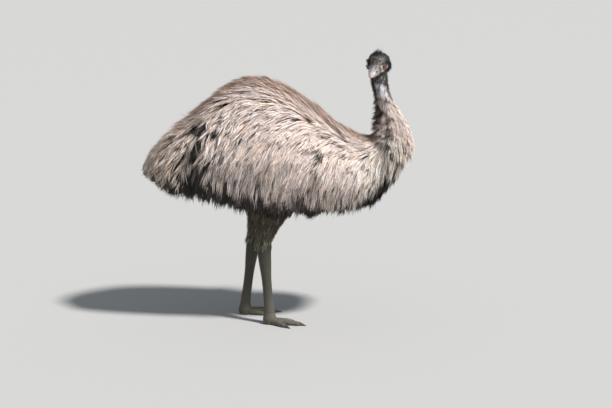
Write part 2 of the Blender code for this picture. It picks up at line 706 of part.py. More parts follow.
def claw_rings(start, ahead, across, length):
    """Rings, finish and tip of a claw that curves down from the end of its toe."""
    around = 8
    angles = np.arange(around) * 2 * math.pi / around
    base = start + ahead * (length + GAP) + np.array([0, 0, CLAW_RADIUS + 0.0008])
    rings = []
    for share in (0.0, 0.3, 0.6, 0.85):
        radius = CLAW_RADIUS * (1 - 0.85 * share**1.3)
        middle = base + ahead * (CLAW_LENGTH * share) - np.array([0, 0, CLAW_DROOP * share**1.6])
        y, z = radius * 0.85 * np.sin(angles), radius * np.cos(angles)
        z = np.maximum(z, 0.0006 - middle[2])
        rings.append(middle + across * y[:, None] + np.array([0, 0, 1.0]) * z[:, None])
    tip = base + ahead * CLAW_LENGTH - np.array([0, 0, CLAW_DROOP])
    return np.array(rings), "claw", tip


def head_axes():
    """Ahead, left and up of the head, as the rows of a matrix."""
    turn, dip = math.radians(HEAD_TURN), math.radians(HEAD_DIP)
    ahead = np.array([math.cos(turn) * math.cos(dip), math.sin(turn) * math.cos(dip), -math.sin(dip)])
    left = np.array([-math.sin(turn), math.cos(turn), 0.0])
    return np.array([ahead, left, np.cross(ahead, left)])


def in_world(points):
    """Points of the head's own frame in the bird's."""
    return np.asarray(HEAD_AT) + np.asarray(points, float) @ head_axes()


def head_ring(ahead, around=20, square=2.3):
    """A section of the head and bill, as points of the head's own frame."""
    table = np.array(HEAD_SECTIONS)
    place = np.interp(ahead, table[:, 0], np.arange(len(table)))
    _, half_width, top, bottom = along_rows(table, place)
    angles = np.arange(around) * 2 * math.pi / around
    power = 2 / square
    y = half_width * np.sign(np.sin(angles)) * np.abs(np.sin(angles)) ** power
    z = (top + bottom) / 2 + (top - bottom) / 2 * np.sign(np.cos(angles)) * np.abs(np.cos(angles)) ** power
    return np.stack([np.full(around, ahead), y, z], axis=-1)


def mouth_height(ahead):
    """The line of the mouth, from the corner to the tip, with a slight sag between."""
    share = np.clip((ahead - GAPE[0]) / (BILL_TIP - GAPE[0]), 0, 1)
    return GAPE[1] + (BILL_TIP_HEIGHT - GAPE[1]) * share - 0.0015 * math.sin(math.pi * share)


def ball(name, centre, sizes, finish, segments=14, rings=8):
    """A sphere stretched along the axes of the head's frame."""
    shell = bmesh.new()
    bmesh.ops.create_uvsphere(shell, u_segments=segments, v_segments=rings, radius=1.0)
    points = in_world(np.array([v.co for v in shell.verts]) * np.asarray(sizes) + np.asarray(centre))
    faces = [[v.index for v in f.verts] for f in shell.faces]
    shell.free()
    return new_object(name, points, faces, finish)


def ring_round(centre, radius, thick, shape, turn=0.0, major=14, minor=5):
    """A rim that faces the head's side, turned about its upright axis by degrees, for a lid or an ear."""
    points, faces = [], []
    for i in range(major):
        a = 2 * math.pi * i / major
        for j in range(minor):
            b = 2 * math.pi * j / minor
            reach = radius + thick * math.cos(b)
            points.append((reach * math.cos(a) * shape[0], thick * math.sin(b), reach * math.sin(a) * shape[1]))
            k, m = (i + 1) % major, (j + 1) % minor
            faces.append((i * minor + j, k * minor + j, k * minor + m, i * minor + m))
    c, s = math.cos(math.radians(turn)), math.sin(math.radians(turn))
    points = np.array(points) @ np.array([(c, s, 0), (-s, c, 0), (0, 0, 1)]) + np.asarray(centre)
    return new_object("ring", in_world(points), faces, "skin")


def crown_feathers():
    """Short feathers over the crown and nape, lying back, their tips standing off the skin."""
    made = []
    for row, (ahead, count, spread) in enumerate(CROWN_ROWS):
        for i in range(count):
            angle = spread * ((i + 0.5) / count * 2 - 1) + rng.uniform(-0.08, 0.08)
            ring = head_ring(ahead, 40)
            place = ring[round(angle / (2 * math.pi) * 40) % 40]
            out = unit(np.array([-0.25, place[1], place[2] + 0.004]))
            back = unit(np.array([-1.0, place[1] * 2, -0.25 * row + rng.uniform(-0.15, 0.15)]))
            steps = np.linspace(0, 1, 3)[:, None]
            length = CROWN_LENGTH * rng.uniform(0.8, 1.25)
            lift = CROWN_ROOT + (CROWN_STAND * rng.uniform(0.7, 1.4) - CROWN_ROOT) * steps**0.8
            path = place + back * length * steps + out * lift
            blades = blade_rings(path, np.tile(out, (3, 1)), CROWN_WIDTH, CROWN_THICK, STUB_LOCK)
            made.append(loft("feather", in_world(blades), "skin", tip=in_world(path[-1])))
    return made


def build_head():
    """The skull's form with lids, ears and the corner of the mouth, both halves of the bill and the eyes."""
    rings = [head_ring(ahead) for ahead in (*HEAD_STATIONS, BILL_BASE - GAP / 2)]
    head = loft("head", in_world(np.array(rings)), "skin")
    joined = [core("stub", NECK_END - 0.2, NECK_END + 1.0, share=NECK_STUB_SHARE, finish="skin")]
    eyes, ears = [], []
    turn = math.radians(EYE_TURN)
    for sign in (-1, 1):
        eye = np.array(EYE_AT) * [1, sign, 1]
        ear = np.array(EAR_AT) * [1, sign, 1]
        eyes.append(eye)
        ears.append(ear)
        look = np.array([math.sin(turn), sign * math.cos(turn), 0.0])
        joined.append(ring_round(eye + look * LID_OUT, LID_RING, LID_THICK, LID_SHAPE, -sign * EYE_TURN))
        joined.append(ring_round(ear, EAR_RADIUS + EAR_RIM, EAR_RIM_THICK, EAR_RIM_SHAPE, 0.0, 10, 4))
    unite(head, joined + crown_feathers())
    for side, eye, ear in zip(SIDES, eyes, ears):
        cut(head, ball("socket", eye, (EYE_RADIUS + GAP,) * 3, "skin"))
        cut(head, ball("ear", ear, (EAR_RADIUS, EAR_DEPTH, EAR_RADIUS * EAR_TALL), "skin", 10, 6))
        ball(f"eye_{side}", eye, (EYE_RADIUS,) * 3, "eye")
    cut(head, mouth_slit())
    cut(head, half_space(NECK_END, -1, reach=NECK_CUT_REACH))
    keep_largest(head)
    build_bill()


def build_bill():
    """The upper half with its nostrils, and the lower half, meeting along the line of the mouth."""
    stations = np.array([BILL_BASE + GAP / 2, *UPPER_BILL_STATIONS])
    upper = np.array([head_ring(ahead) for ahead in stations])
    for ring, ahead in zip(upper, stations):
        ring[:, 2] = np.maximum(ring[:, 2], mouth_height(ahead) + GAP / 2)
    bill = loft("bill_upper", in_world(upper), "bill", tip=in_world((BILL_TIP, 0, BILL_TIP_HEIGHT + UPPER_TIP_RISE)))
    for sign in (-1, 1):
        nostril = np.array(NOSTRIL_AT) * [1, sign, 1]
        cut(bill, ball("nostril", nostril, NOSTRIL_SIZE, "bill", 10, 6))
    stations = np.array([BILL_BASE + GAP / 2, *LOWER_BILL_STATIONS])
    lower = np.array([head_ring(ahead) for ahead in stations])
    for ring, ahead in zip(lower, stations):
        ring[:, 1] *= LOWER_BILL_NARROW
        ring[:, 2] = np.minimum(ring[:, 2], mouth_height(ahead) - GAP / 2)
    end = (BILL_TIP - LOWER_BILL_SHORT, 0, BILL_TIP_HEIGHT - LOWER_TIP_DROP)
    loft("bill_lower", in_world(lower), "bill", tip=in_world(end))


def mouth_slit():
    """A thin wedge along the line of the mouth, from its corner to the base of the bill, to cut the head with."""
    points = []
    stations = np.linspace(GAPE[0], BILL_BASE + 0.002, 5)
    for ahead in stations:
        middle = mouth_height(ahead)
        for y in (-0.06, 0.06):
            for z in (-MOUTH_GAP / 2, MOUTH_GAP / 2):
                points.append((ahead, y, middle + z))
    faces = []
    for i in range(len(stations) - 1):
        a, b = 4 * i, 4 * i + 4
        faces += [(a, a + 1, b + 1, b), (a + 1, a + 3, b + 3, b + 1), (a + 3, a + 2, b + 2, b + 3), (a + 2, a, b, b + 2)]
    last = 4 * (len(stations) - 1)
    faces += [(0, 1, 3, 2), (last, last + 1, last + 3, last + 2)]
    return new_object("slit", in_world(points), faces, "skin", smooth=False)


def wing_rings(side):
    """Flat rings from the shoulder to the wrist of the small wing, lying in the coat."""
    count, around = 8, 10
    share = np.linspace(0, 1, count)
    start, end = np.array(WING_SHOULDER), np.array(WING_WRIST)
    places = start + (end - start) * share[:, None]
    angle = -SIDES[side] * places[:, 1]
    middle = body_point(places[:, 0], angle, WING_DEPTH)
    _, _, normal = body_frame(places[:, 0], angle, WING_DEPTH)
    ahead = unit(np.gradient(middle, axis=0))
    across = unit(np.cross(ahead, normal))
    out = np.cross(across, ahead)
    angles = np.arange(around) * 2 * math.pi / around
    wide, thick = along_rows(WING_SECTIONS, share * (len(WING_SECTIONS) - 1)).T
    rings = middle[:, None] + across[:, None] * (wide[:, None] * np.cos(angles))[..., None]
    return rings + out[:, None] * (thick[:, None] * np.sin(angles))[..., None]


def wing_feathers(side):
    """Rings and tips of the long narrow feathers off the wing's lower edge, lying over the coat."""
    rings = wing_rings(side)
    made = []
    for i, length in enumerate(WING_FEATHERS):
        share = (i + 0.7) / len(WING_FEATHERS)
        place = np.array(WING_SHOULDER) + (np.array(WING_WRIST) - np.array(WING_SHOULDER)) * share
        middle = rings[min(int(share * len(rings)), len(rings) - 1)].mean(axis=0)
        _, _, normal = body_frame(place[0], -SIDES[side] * place[1], 0.0)
        down = np.array(WING_FEATHER_FALL)
        down = unit(down - normal * (down @ normal))
        steps = np.linspace(0, 1, 3)[:, None]
        path = middle + down * length * steps + normal * (WING_FEATHER_LIFT * steps**0.5)
        blades = blade_rings(path, np.tile(normal, (3, 1)), WING_FEATHER_WIDTH, WING_FEATHER_THICK, STUB_LOCK)
        made.append((blades, path[-1]))
    return made


def swollen_hull(points, by):
    """A closed convex body round the points that clears each by the given distance along every axis."""
    moves = np.vstack([np.eye(3), -np.eye(3)]) * by
    shell = bmesh.new()
    for point in np.asarray(points).reshape(-1, 3):
        for move in moves:
            shell.verts.new(point + move)
    bmesh.ops.convex_hull(shell, input=shell.verts)
    loose = [v for v in shell.verts if not v.link_faces]
    bmesh.ops.delete(shell, geom=loose, context="VERTS")
    shell.verts.index_update()
    corners = [tuple(v.co) for v in shell.verts]
    faces = [[v.index for v in f.verts] for f in shell.faces]
    shell.free()
    return new_object("hull", corners, faces, "dark_coat")


def build_wings(torso):
    for side in SIDES:
        rings = wing_rings(side)
        feathers = wing_feathers(side)
        hulls = [swollen_hull(np.vstack([blades.reshape(-1, 3), tip]), WING_ROOM) for blades, tip in feathers]
        bed = swollen_hull(rings, WING_ROOM)
        unite(bed, hulls)
        cut(torso, bed)
        wing = loft(f"wing_{side}", rings, "dark_coat")
        unite(wing, [loft("feather", blades, "dark_coat", tip=tip) for blades, tip in feathers])
        keep_largest(wing)


def clear_scene():
    for obj in list(bpy.data.objects):
        bpy.data.objects.remove(obj)


def centre_on_floor():
    """Moves the whole bird so that the middle of its box stands over the origin."""
    objects = list(bpy.context.scene.objects)
    corners = np.array([v.co for obj in objects for v in obj.data.vertices])
    low, high = corners.min(axis=0), corners.max(axis=0)
    move = Matrix.Translation((-(low[0] + high[0]) / 2, -(low[1] + high[1]) / 2, -low[2]))
    for obj in objects:
        obj.data.transform(move)


def main():
    clear_scene()
    lengths = build_body_lengths()
    torso = lengths["torso"]
    for side in SIDES:
        cut(torso, loft("socket", thigh_rings(side, GAP), "coat"))
    build_wings(torso)
    keep_largest(torso)
    for side in SIDES:
        build_leg(side)
    build_head()
    centre_on_floor()


main()
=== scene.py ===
"""Looks of a life-size emu that stands with its head turned to its right.

Metres, +Z up, in the bird's own frame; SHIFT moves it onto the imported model. A place on the body is a
station u, counted along BODY from the tail's tip, and an angle v round it.
"""

import math

import bpy
import numpy as np
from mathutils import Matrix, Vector


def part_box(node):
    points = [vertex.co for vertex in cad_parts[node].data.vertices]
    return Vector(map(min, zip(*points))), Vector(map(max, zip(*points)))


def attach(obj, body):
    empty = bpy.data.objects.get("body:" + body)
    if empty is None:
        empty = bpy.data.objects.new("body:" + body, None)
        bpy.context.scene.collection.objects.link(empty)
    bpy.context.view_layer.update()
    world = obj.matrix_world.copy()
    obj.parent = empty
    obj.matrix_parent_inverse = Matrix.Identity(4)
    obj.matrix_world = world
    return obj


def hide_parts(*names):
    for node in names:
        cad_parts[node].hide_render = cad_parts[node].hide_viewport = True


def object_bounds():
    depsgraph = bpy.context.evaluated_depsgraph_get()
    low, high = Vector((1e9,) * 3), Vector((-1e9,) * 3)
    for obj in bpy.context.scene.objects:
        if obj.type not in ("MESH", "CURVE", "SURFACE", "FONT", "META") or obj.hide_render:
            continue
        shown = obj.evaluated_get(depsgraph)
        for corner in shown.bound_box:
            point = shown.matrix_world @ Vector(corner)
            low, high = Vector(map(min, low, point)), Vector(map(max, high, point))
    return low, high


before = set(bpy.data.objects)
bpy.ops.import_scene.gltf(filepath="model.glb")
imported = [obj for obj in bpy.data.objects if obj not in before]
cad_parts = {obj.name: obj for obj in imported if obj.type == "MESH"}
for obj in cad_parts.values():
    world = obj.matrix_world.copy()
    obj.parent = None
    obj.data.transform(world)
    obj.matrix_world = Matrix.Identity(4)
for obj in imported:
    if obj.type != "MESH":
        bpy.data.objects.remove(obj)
cad_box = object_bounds()
rng = np.random.default_rng(11)

# The outer coat from the tail's tip to the top of the neck, a plane across the body for each station:
# back x and z, belly x and z, half width, depth of the coat
BODY = [
    (-0.602, 0.705, -0.585, 0.655, 0.045, 0.030),
    (-0.570, 0.770, -0.545, 0.622, 0.105, 0.055),
    (-0.500, 0.855, -0.490, 0.588, 0.155, 0.070),
    (-0.410, 0.930, -0.425, 0.570, 0.190, 0.070),
    (-0.300, 1.025, -0.345, 0.560, 0.218, 0.065),
    (-0.190, 1.100, -0.220, 0.525, 0.235, 0.060),
    (-0.060, 1.114, -0.080, 0.495, 0.245, 0.060),
    (0.065, 1.060, 0.060, 0.492, 0.240, 0.060),
    (0.175, 0.985, 0.190, 0.498, 0.222, 0.060),
    (0.275, 0.905, 0.310, 0.503, 0.197, 0.060),
    (0.360, 0.860, 0.425, 0.530, 0.170, 0.055),
    (0.408, 0.862, 0.515, 0.625, 0.145, 0.050),
    (0.426, 0.905, 0.585, 0.715, 0.120, 0.045),
    (0.432, 0.955, 0.603, 0.815, 0.098, 0.036),
    (0.431, 1.000, 0.565, 0.915, 0.072, 0.026),
    (0.425, 1.040, 0.518, 0.990, 0.050, 0.014),
    (0.416, 1.080, 0.492, 1.050, 0.040, 0.008),
    (0.412, 1.125, 0.486, 1.105, 0.037, 0.006),
    (0.420, 1.165, 0.480, 1.150, 0.030, 0.006),
]
NECK_START = 13  # the first station past the hanging coat's hem
HANG_RISE = 0.35
SKIN_SHARE = 0.62  # the skin's depth under the outer coat, as a share of the coat's depth
SKIN_STATIONS = np.concatenate([np.linspace(0.25, 8.0, 60, endpoint=False), np.linspace(8.0, 15.2, 92)])

# Locks: how deep they root, how they fall once they are free under the belly, and how far they hang
ROOT_SHARE = 0.75
PATH_STEPS = 6
FREE_FROM, FREE_AT = 0.05, 0.6
FALL = np.array([-0.10, 0.0, -0.995])
SHORTEST_HANG = 0.55
UNDER_LENGTH = 0.75
LEG_CLEARANCE = 0.010
LIGHT_HEM = 0.045  # how much higher than the under layer's locks, painted dark as shade, the light locks of the flank end
GAP_SHADE = (0.26, 0.05)  # painted shade: how dark a lock of the under layer is made, for the shade deep between locks, where the coat is even and where it is in locks
BLADE_REACH = (0.66, 1.0)  # the shares of its lock's length that a blade reaches

# How the coat turns from lying back along the spine (0) to hanging down (1): the shares of the way round
# between which it turns on the upper side and on the lower, and by how much at some stations
LIE_UPPER, LIE_LOWER = (0.14, 0.52), (0.50, 0.95)
LIE_STATIONS = (1.5, 2.6, 3.9, 5.3)
LIE_MOST, LIE_MORE = (0.60, 0.70, 0.72, 0.56), (-0.10, -0.18, 0.03, 0.21)

# A blade's points as shares of its length, and its width at all but the last of them
LONG, LONG_PROFILE = np.array([0.0, 0.36, 0.72, 1.0]), (0.75, 1.0, 0.72)
SHORT, SHORT_PROFILE = np.array([0.0, 0.40, 0.78, 1.0]), (0.85, 1.0, 0.62)
BLADE_ROUNDING = 0.35  # how far the light on a blade's sides turns from the coat's own
PATCH = 0.003  # the size of each blade's patch on the unwrap of the skin

SIDES = {"right": -1, "left": 1}
THIGH_TOP = {"right": np.array([0.010, -0.105, 0.640]), "left": np.array([-0.020, 0.105, 0.640])}
HOCK = {"right": np.array([-0.064, -0.085, 0.372]), "left": np.array([-0.112, 0.080, 0.368])}
ANKLE = {"right": np.array([-0.038, -0.085, 0.048]), "left": np.array([-0.155, 0.080, 0.048])}
FOOT_TURN = {"right": -14.0, "left": 8.0}
THIGH_SECTIONS = [(0.098, 0.076), (0.094, 0.074), (0.078, 0.062), (0.049, 0.042), (0.031, 0.027)]
TARSUS_SECTIONS = [(0.031, 0.027), (0.0275, 0.0215), (0.0210, 0.0165), (0.0200, 0.0160), (0.0225, 0.0200)]
ANKLE_SECTIONS = [(0.0225, 0.0200), (0.0270, 0.0240), (0.0300, 0.0265), (0.0270, 0.0240)]
ANKLE_SOLE = 0.004
SHANK_PLATES, TOE_PLATE_LENGTH = 32, 0.0072
LEG_AROUND, HUB_ROWS, TOE_AROUND = 96, 60, 64
TOES = {"inner": (27.0, 0.092, 0.0150), "middle": (0.0, 0.140, 0.0175), "outer": (-29.0, 0.098, 0.0150)}
TOE_HEIGHTS = [0.030, 0.027, 0.024, 0.020, 0.017]
TOE_TAPER = 0.68
CLAW_LENGTH, CLAW_RADIUS, CLAW_DROOP = 0.034, 0.0078, 0.0075

WING_SHOULDER, WING_WRIST = np.array([8.45, 1.22]), np.array([7.0, 1.82])
WING_BLADES, THIGH_BLADES, TUFT_BLADES, BRISTLES = 420, 2200, 420, 1000
TUFT_TIP = (0.137, 0.0, 0.467)  # where the dark tuft under the belly ends

HEAD_AT = (0.440, -0.018, 1.156)
HEAD_TURN, HEAD_DIP = -111.0, 20.0
HEAD_SQUARE = 2.3  # 2 is an ellipse in section, more is squarer
EYE_RADIUS, CORNEA = 0.0150, 0.0006
EYE_AT = (0.0045, 0.0285, 0.0035)
EYE_TURN = 30.0  # degrees that each eye looks ahead of straight out to its side
HEAD_SECTIONS = [
    (-0.066, 0.004, 0.000, -0.008),
    (-0.059, 0.024, 0.020, -0.028),
    (-0.043, 0.0385, 0.036, -0.041),
    (-0.024, 0.0450, 0.043, -0.044),
    (-0.006, 0.0425, 0.042, -0.041),
    (0.008, 0.0360, 0.038, -0.038),
    (0.020, 0.0305, 0.032, -0.0345),
    (0.035, 0.0270, 0.0235, -0.0300),
    (0.050, 0.0245, 0.0170, -0.0255),
    (0.070, 0.0205, 0.0110, -0.0205),
    (0.088, 0.0140, 0.0040, -0.0165),
    (0.099, 0.0065, -0.0030, -0.0145),
]
BILL_BASE, BILL_TIP, BILL_TIP_HEIGHT = 0.036, 0.1025, -0.0120
GAPE, GAPE_GAP = (0.010, -0.0210), 0.0009
LOWER_BILL_SHORT = 0.004
NOSTRIL_AT, NOSTRIL_SIZE = (0.069, 0.0170, 0.0030), (0.0070, 0.0030, 0.0026)
# the size of the painted shade in and round each nostril
NOSTRIL_SHADE = (0.0072, 0.0036, 0.0030)
EAR_AT, EAR_RADIUS = (-0.032, 0.0415, -0.008), 0.0050
# Forms raised on each side of the head: name, place, size along each axis, turn
HEAD_FORMS = [
    ("lid", EYE_AT, (EYE_RADIUS + 0.0016,) * 3, 0.0),
    ("brow", (EYE_AT[0] + 0.001, 0.0300, EYE_AT[2] + 0.0145), (0.019, 0.0070, 0.0040), EYE_TURN * 0.8),
    ("cheek", (EYE_AT[0] + 0.006, 0.0270, EYE_AT[2] - 0.0190), (0.026, 0.0090, 0.0070), EYE_TURN * 0.6),
    ("ear", (EAR_AT[0], EAR_AT[1] - 0.002, EAR_AT[2]),
     (EAR_RADIUS + 0.0028, 0.0035, EAR_RADIUS + 0.0036), 0.0),
]
# Tufts that stand off the head: root ahead and round the head, way that they point, length, how many blades
TUFTS = [
    (-0.012, 0.00, (-0.55, 0.00, 1.0), 0.034, 60),
    (-0.012, 0.28, (-0.70, -0.10, 1.0), 0.029, 50),
    (-0.012, -0.28, (-0.70, 0.10, 1.0), 0.029, 50),
    (-0.016, 0.75, (-0.70, 0.20, 0.8), 0.020, 20),
    (-0.016, -0.75, (-0.70, -0.20, 0.8), 0.020, 20),
    (-0.016, -1.25, (-0.30, -1.0, -0.05), 0.024, 26),
    (-0.010, -1.45, (-0.20, -1.0, -0.30), 0.018, 18),
    (0.004, -0.95, (0.10, -1.0, -0.10), 0.020, 50),
    (0.016, -1.05, (0.35, -1.0, -0.35), 0.017, 50),
    (-0.006, -1.65, (0.15, -1.0, -0.35), 0.022, 60),
    (-0.008, -1.95, (0.10, -1.0, -0.60), 0.020, 50),
]

# Colours, as shares of the light that they give back
FLANK, BACK, TAIL = (0.82, 0.68, 0.615), (0.34, 0.235, 0.19), (0.72, 0.585, 0.485)
# the second of these is painted shade: the dark of the coat's underside, of the parting before the tail and
# of the tuft under the belly
CREAM, PAINTED_COAT_SHADE, WING_DARK = (0.84, 0.75, 0.665), (0.036, 0.030, 0.024), (0.045, 0.038, 0.032)
NECK, NECK_DARK = (0.80, 0.655, 0.585), (0.045, 0.036, 0.032)
CROWN, CHEEK = (0.010, 0.010, 0.012), (0.018, 0.016, 0.017)
FOREHEAD, FOREHEAD_PALE = (0.026, 0.022, 0.021), (0.27, 0.225, 0.20)
# the first of these is the thighs' colour darkened by painted shade at the top, the second their painted
# highlight toward the hock
THIGH, THIGH_LIT = (0.110, 0.094, 0.060), (0.150, 0.140, 0.092)
SKIN_HIDDEN, SKIN_HEAD = (0.040, 0.034, 0.030), (0.012, 0.011, 0.012)
# the last of these is painted shade in the creases of the bare neck
BARE, BARE_BLUE, BARE_CREASE_SHADE = (0.56, 0.52, 0.515), (0.42, 0.45, 0.51), (0.30, 0.28, 0.295)
LORES, GAPE_ORANGE = (0.36, 0.295, 0.25), (0.66, 0.27, 0.11)
UNDER_EYE, BEHIND_EYE, LID = (0.40, 0.435, 0.475), (0.34, 0.38, 0.43), (0.018, 0.016, 0.016)
PUPIL, EYE_EDGE = (0.004, 0.004, 0.005), (0.02, 0.014, 0.012)
IRIS, IRIS_RIM = (0.46, 0.125, 0.014), (0.20, 0.045, 0.008)
HORN, HORN_PALE, HORN_DARK = (0.31, 0.285, 0.30), (0.52, 0.445, 0.43), (0.10, 0.09, 0.10)
HORN_STREAK, HORN_GROOVE, HORN_MOTTLE = (0.17, 0.14, 0.135), (0.14, 0.135, 0.145), (0.13, 0.115, 0.12)
# the last of these is painted shade in and round the nostrils
HORN_BASE, NOSTRIL_PAINTED_SHADE = (0.040, 0.036, 0.038), (0.03, 0.024, 0.024)
FOOT, SHANK, SHANK_TOP = (0.095, 0.086, 0.066), (0.052, 0.048, 0.034), (0.036, 0.035, 0.023)
CLAW, CLAW_TIP = (0.075, 0.066, 0.058), (0.16, 0.14, 0.12)

FLOOR_HALF, FLOOR_COLOUR = 70.0, (0.40, 0.40, 0.395, 1.0)
SUN_ENERGY, SUN_ANGLE, SUN_COLOUR, SUN_WAY = 5.4, 0.12, (1.0, 0.975, 0.945), (-0.49, 0.34, -0.80)
SKY_COLOUR, SKY_STRENGTH = (0.86, 0.92, 1.0, 1.0), 0.42
# The camera: 6 m from the bird, 11 degrees above level, aimed at the middle of the photograph's frame
CAMERA_FAR, CAMERA_RISE = 6.0, math.radians(11.0)
CAMERA_AIM = (0.126, 0.0, 0.533)
CAMERA_FOCUS_PX, FRAME_WIDTH_PX, SENSOR_MM, SIGHT = 1333.0, 612.0, 36.0, 300.0


def middle_of(node):
    low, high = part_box(node)
    return (np.array(low) + np.array(high)) / 2


def unit(vectors):
    return vectors / np.maximum(np.linalg.norm(vectors, axis=-1, keepdims=True), 1e-12)


def smooth(x, low, high):
    t = np.clip((np.asarray(x, float) - low) / (high - low), 0, 1)
    return t * t * (3 - 2 * t)


def bump_at(x, middle, width):
    """1 at the middle, falling to 0 on both sides of it."""
    return np.exp(-(((x - middle) / width) ** 2))


def turns(count):
    """Angles spread evenly over a full turn."""
    return np.arange(count) * 2 * math.pi / count


def side_of(v):
    """From 0 on the back to 1 on the belly."""
    return np.abs(np.sin(v / 2))


def columns(*parts):
    """Points or pairs from their coordinates."""
    return np.stack(np.broadcast_arrays(*parts), axis=-1)


def mix(a, b, share):
    """Colours a turned into b by a share for each point."""
    share = np.asarray(share, float)[..., None]
    return np.asarray(a, float) * (1 - share) + np.asarray(b, float) * share


def layered(colour, *layers):
    """A colour with others laid over it, each by its share."""
    for paint, share in layers:
        colour = mix(colour, paint, share)
    return colour


def along_rows(rows, t):
    """Rows of numbers read at t, a station number with a share, on a Catmull-Rom curve."""
    rows = np.asarray(rows, float)
    t = np.asarray(t, float)
    last = len(rows) - 1
    i = np.clip(np.floor(t).astype(int), 0, last - 1)
    f = (t - i)[..., None]
    before, here, after, beyond = (rows[np.clip(i + k, 0, last)] for k in (-1, 0, 1, 2))
    bend = 2 * before - 5 * here + 4 * after - beyond
    turn = 3 * (here - after) + beyond - before
    return here + 0.5 * f * ((after - before) + f * (bend + f * turn))


def at_share(rows, share):
    """Rows of numbers read at a share of the way along them."""
    return along_rows(rows, np.asarray(share, float) * (len(rows) - 1))


def body_point(u, v, share):
    """Points at station u and angle v round the body, share of the coat's depth under its outside.

    Angle 0 is the back, a quarter turn the right side, a half turn the belly.
    """
    u, v, share = np.broadcast_arrays(*(np.asarray(a, float) for a in (u, v, share)))
    row = along_rows(BODY, np.clip(u, 0, len(BODY) - 1))
    back, belly, half_width, coat = row[..., 0:2], row[..., 2:4], row[..., 4], row[..., 5]
    rise = (back - belly) / 2
    tall = np.linalg.norm(rise, axis=-1)
    up = np.cos(v) * (1 - share * coat / tall)
    on_neck = np.clip((u - 10.0) / 3.0, 0, 1)
    hang = HANG_RISE * (1 - on_neck) * 0.5
    side = np.sin(v) * (1 - hang * np.cos(v)) * (half_width - share * coat)
    middle = (back + belly) / 2 + rise * up[..., None]
    return columns(middle[..., 0], -side, middle[..., 1])


def body_frame(u, v, share):
    """The surface's change with u and with v, and its outward normal."""
    step = 1e-3
    by_u = (body_point(u + step, v, share) - body_point(u - step, v, share)) / (2 * step)
    by_v = (body_point(u, v + step, share) - body_point(u, v - step, share)) / (2 * step)
    return by_u, by_v, unit(np.cross(by_v, by_u))


def coat_lie(u, v, by_u):
    """The way the coat lies: back along the spine, and down over the sides."""
    side = side_of(v)
    droop = smooth(side, *LIE_UPPER) * np.interp(u, LIE_STATIONS, LIE_MOST)
    droop = droop + smooth(side, *LIE_LOWER) * np.interp(u, LIE_STATIONS, LIE_MORE)
    droop = droop * (1 - 0.75 * smooth(u, 10.5, 13.0))
    backward = -unit(by_u)
    down = np.zeros_like(backward)
    down[..., 2] = -1.0
    return unit(backward * (1 - droop)[..., None] + down * droop[..., None])


def push_clear(points, clear):
    """Moves points that would lie in a thigh out to its side."""
    for side in SIDES:
        start, end = THIGH_TOP[side], HOCK[side]
        wide, narrow = THIGH_SECTIONS[0][0], THIGH_SECTIONS[-1][0]
        line = end - start
        t = np.clip((points - start) @ line / (line @ line), 0, 1)
        off = points - (start + t[..., None] * line)
        far = np.linalg.norm(off, axis=-1)
        move = np.maximum(wide + (narrow - wide) * t + clear - far, 0) * (far > 1e-6)
        points = points + unit(off) * move[..., None]
    return points


def hem(x):
    """The height that the coat hangs down to at x."""
    rows = np.array(BODY[:NECK_START])
    return np.interp(x, rows[:, 2], rows[:, 3])


def walk(u, v, length, tip_share, swing, hang=1.0):
    """Points and normals along paths over the body that start at (u, v), sunk root first, free tip last."""
    points, normals = [], []
    place = on_body = body_point(u, v, ROOT_SHARE)
    for i in range(PATH_STEPS + 1):
        by_u, by_v, normal = body_frame(u, v, 0.0)
        points.append(push_clear(place, LEG_CLEARANCE) if i > 1 else place)
        normals.append(normal)
        lie = coat_lie(u, v, by_u)
        lie = unit(lie + np.cross(normal, lie) * (swing * (0.4 + i / PATH_STEPS))[..., None])
        a, b, c = (by_u * by_u).sum(-1), (by_u * by_v).sum(-1), (by_v * by_v).sum(-1)
        p, q = (lie * by_u).sum(-1), (lie * by_v).sum(-1)
        under = a * c - b * b
        stride = length / PATH_STEPS
        u = np.clip(u + stride * (p * c - q * b) / under, 0.0, len(BODY) - 1)
        v = v + stride * (a * q - b * p) / under
        share = ROOT_SHARE + (tip_share - ROOT_SHARE) * ((i + 1) / PATH_STEPS) ** 0.8
        next_on_body = body_point(u, v, share)
        free = (hang * smooth(-normal[..., 2], FREE_FROM, FREE_AT))[..., None]
        place = place + (next_on_body - on_body) * (1 - free) + FALL * stride[..., None] * free
        on_body = next_on_body
    return np.array(points), np.array(normals)


def scatter(u_range, v_range, spacing, cells=60):
    """Random starting places over a stretch of the body, spread evenly over its surface."""
    u_edges, v_edges = np.linspace(*u_range, cells + 1), np.linspace(*v_range, cells + 1)
    u_step, v_step = u_edges[1] - u_edges[0], v_edges[1] - v_edges[0]
    uu, vv = np.meshgrid((u_edges[1:] + u_edges[:-1]) / 2, (v_edges[1:] + v_edges[:-1]) / 2, indexing="ij")
    by_u, by_v, _ = body_frame(uu, vv, 0.5)
    area = np.linalg.norm(np.cross(by_u, by_v), axis=-1) * u_step * v_step
    count = int(area.sum() / spacing**2)
    chances = (area / area.sum()).ravel()
    # one mark in each of many even strides along the row of cells keeps the spread even
    marks = (np.arange(count) + rng.uniform(0, 1, count)) / count
    picked = np.searchsorted(np.cumsum(chances), marks).clip(0, chances.size - 1)
    row, column = np.unravel_index(picked, area.shape)
    u = u_edges[row] + rng.uniform(0, 1, count) * u_step
    return u, v_edges[column] + rng.uniform(0, 1, count) * v_step


def link(name, mesh, finish):
    mesh.materials.append(finish)
    obj = bpy.data.objects.new(name, mesh)
    bpy.context.scene.collection.objects.link(obj)
    return obj


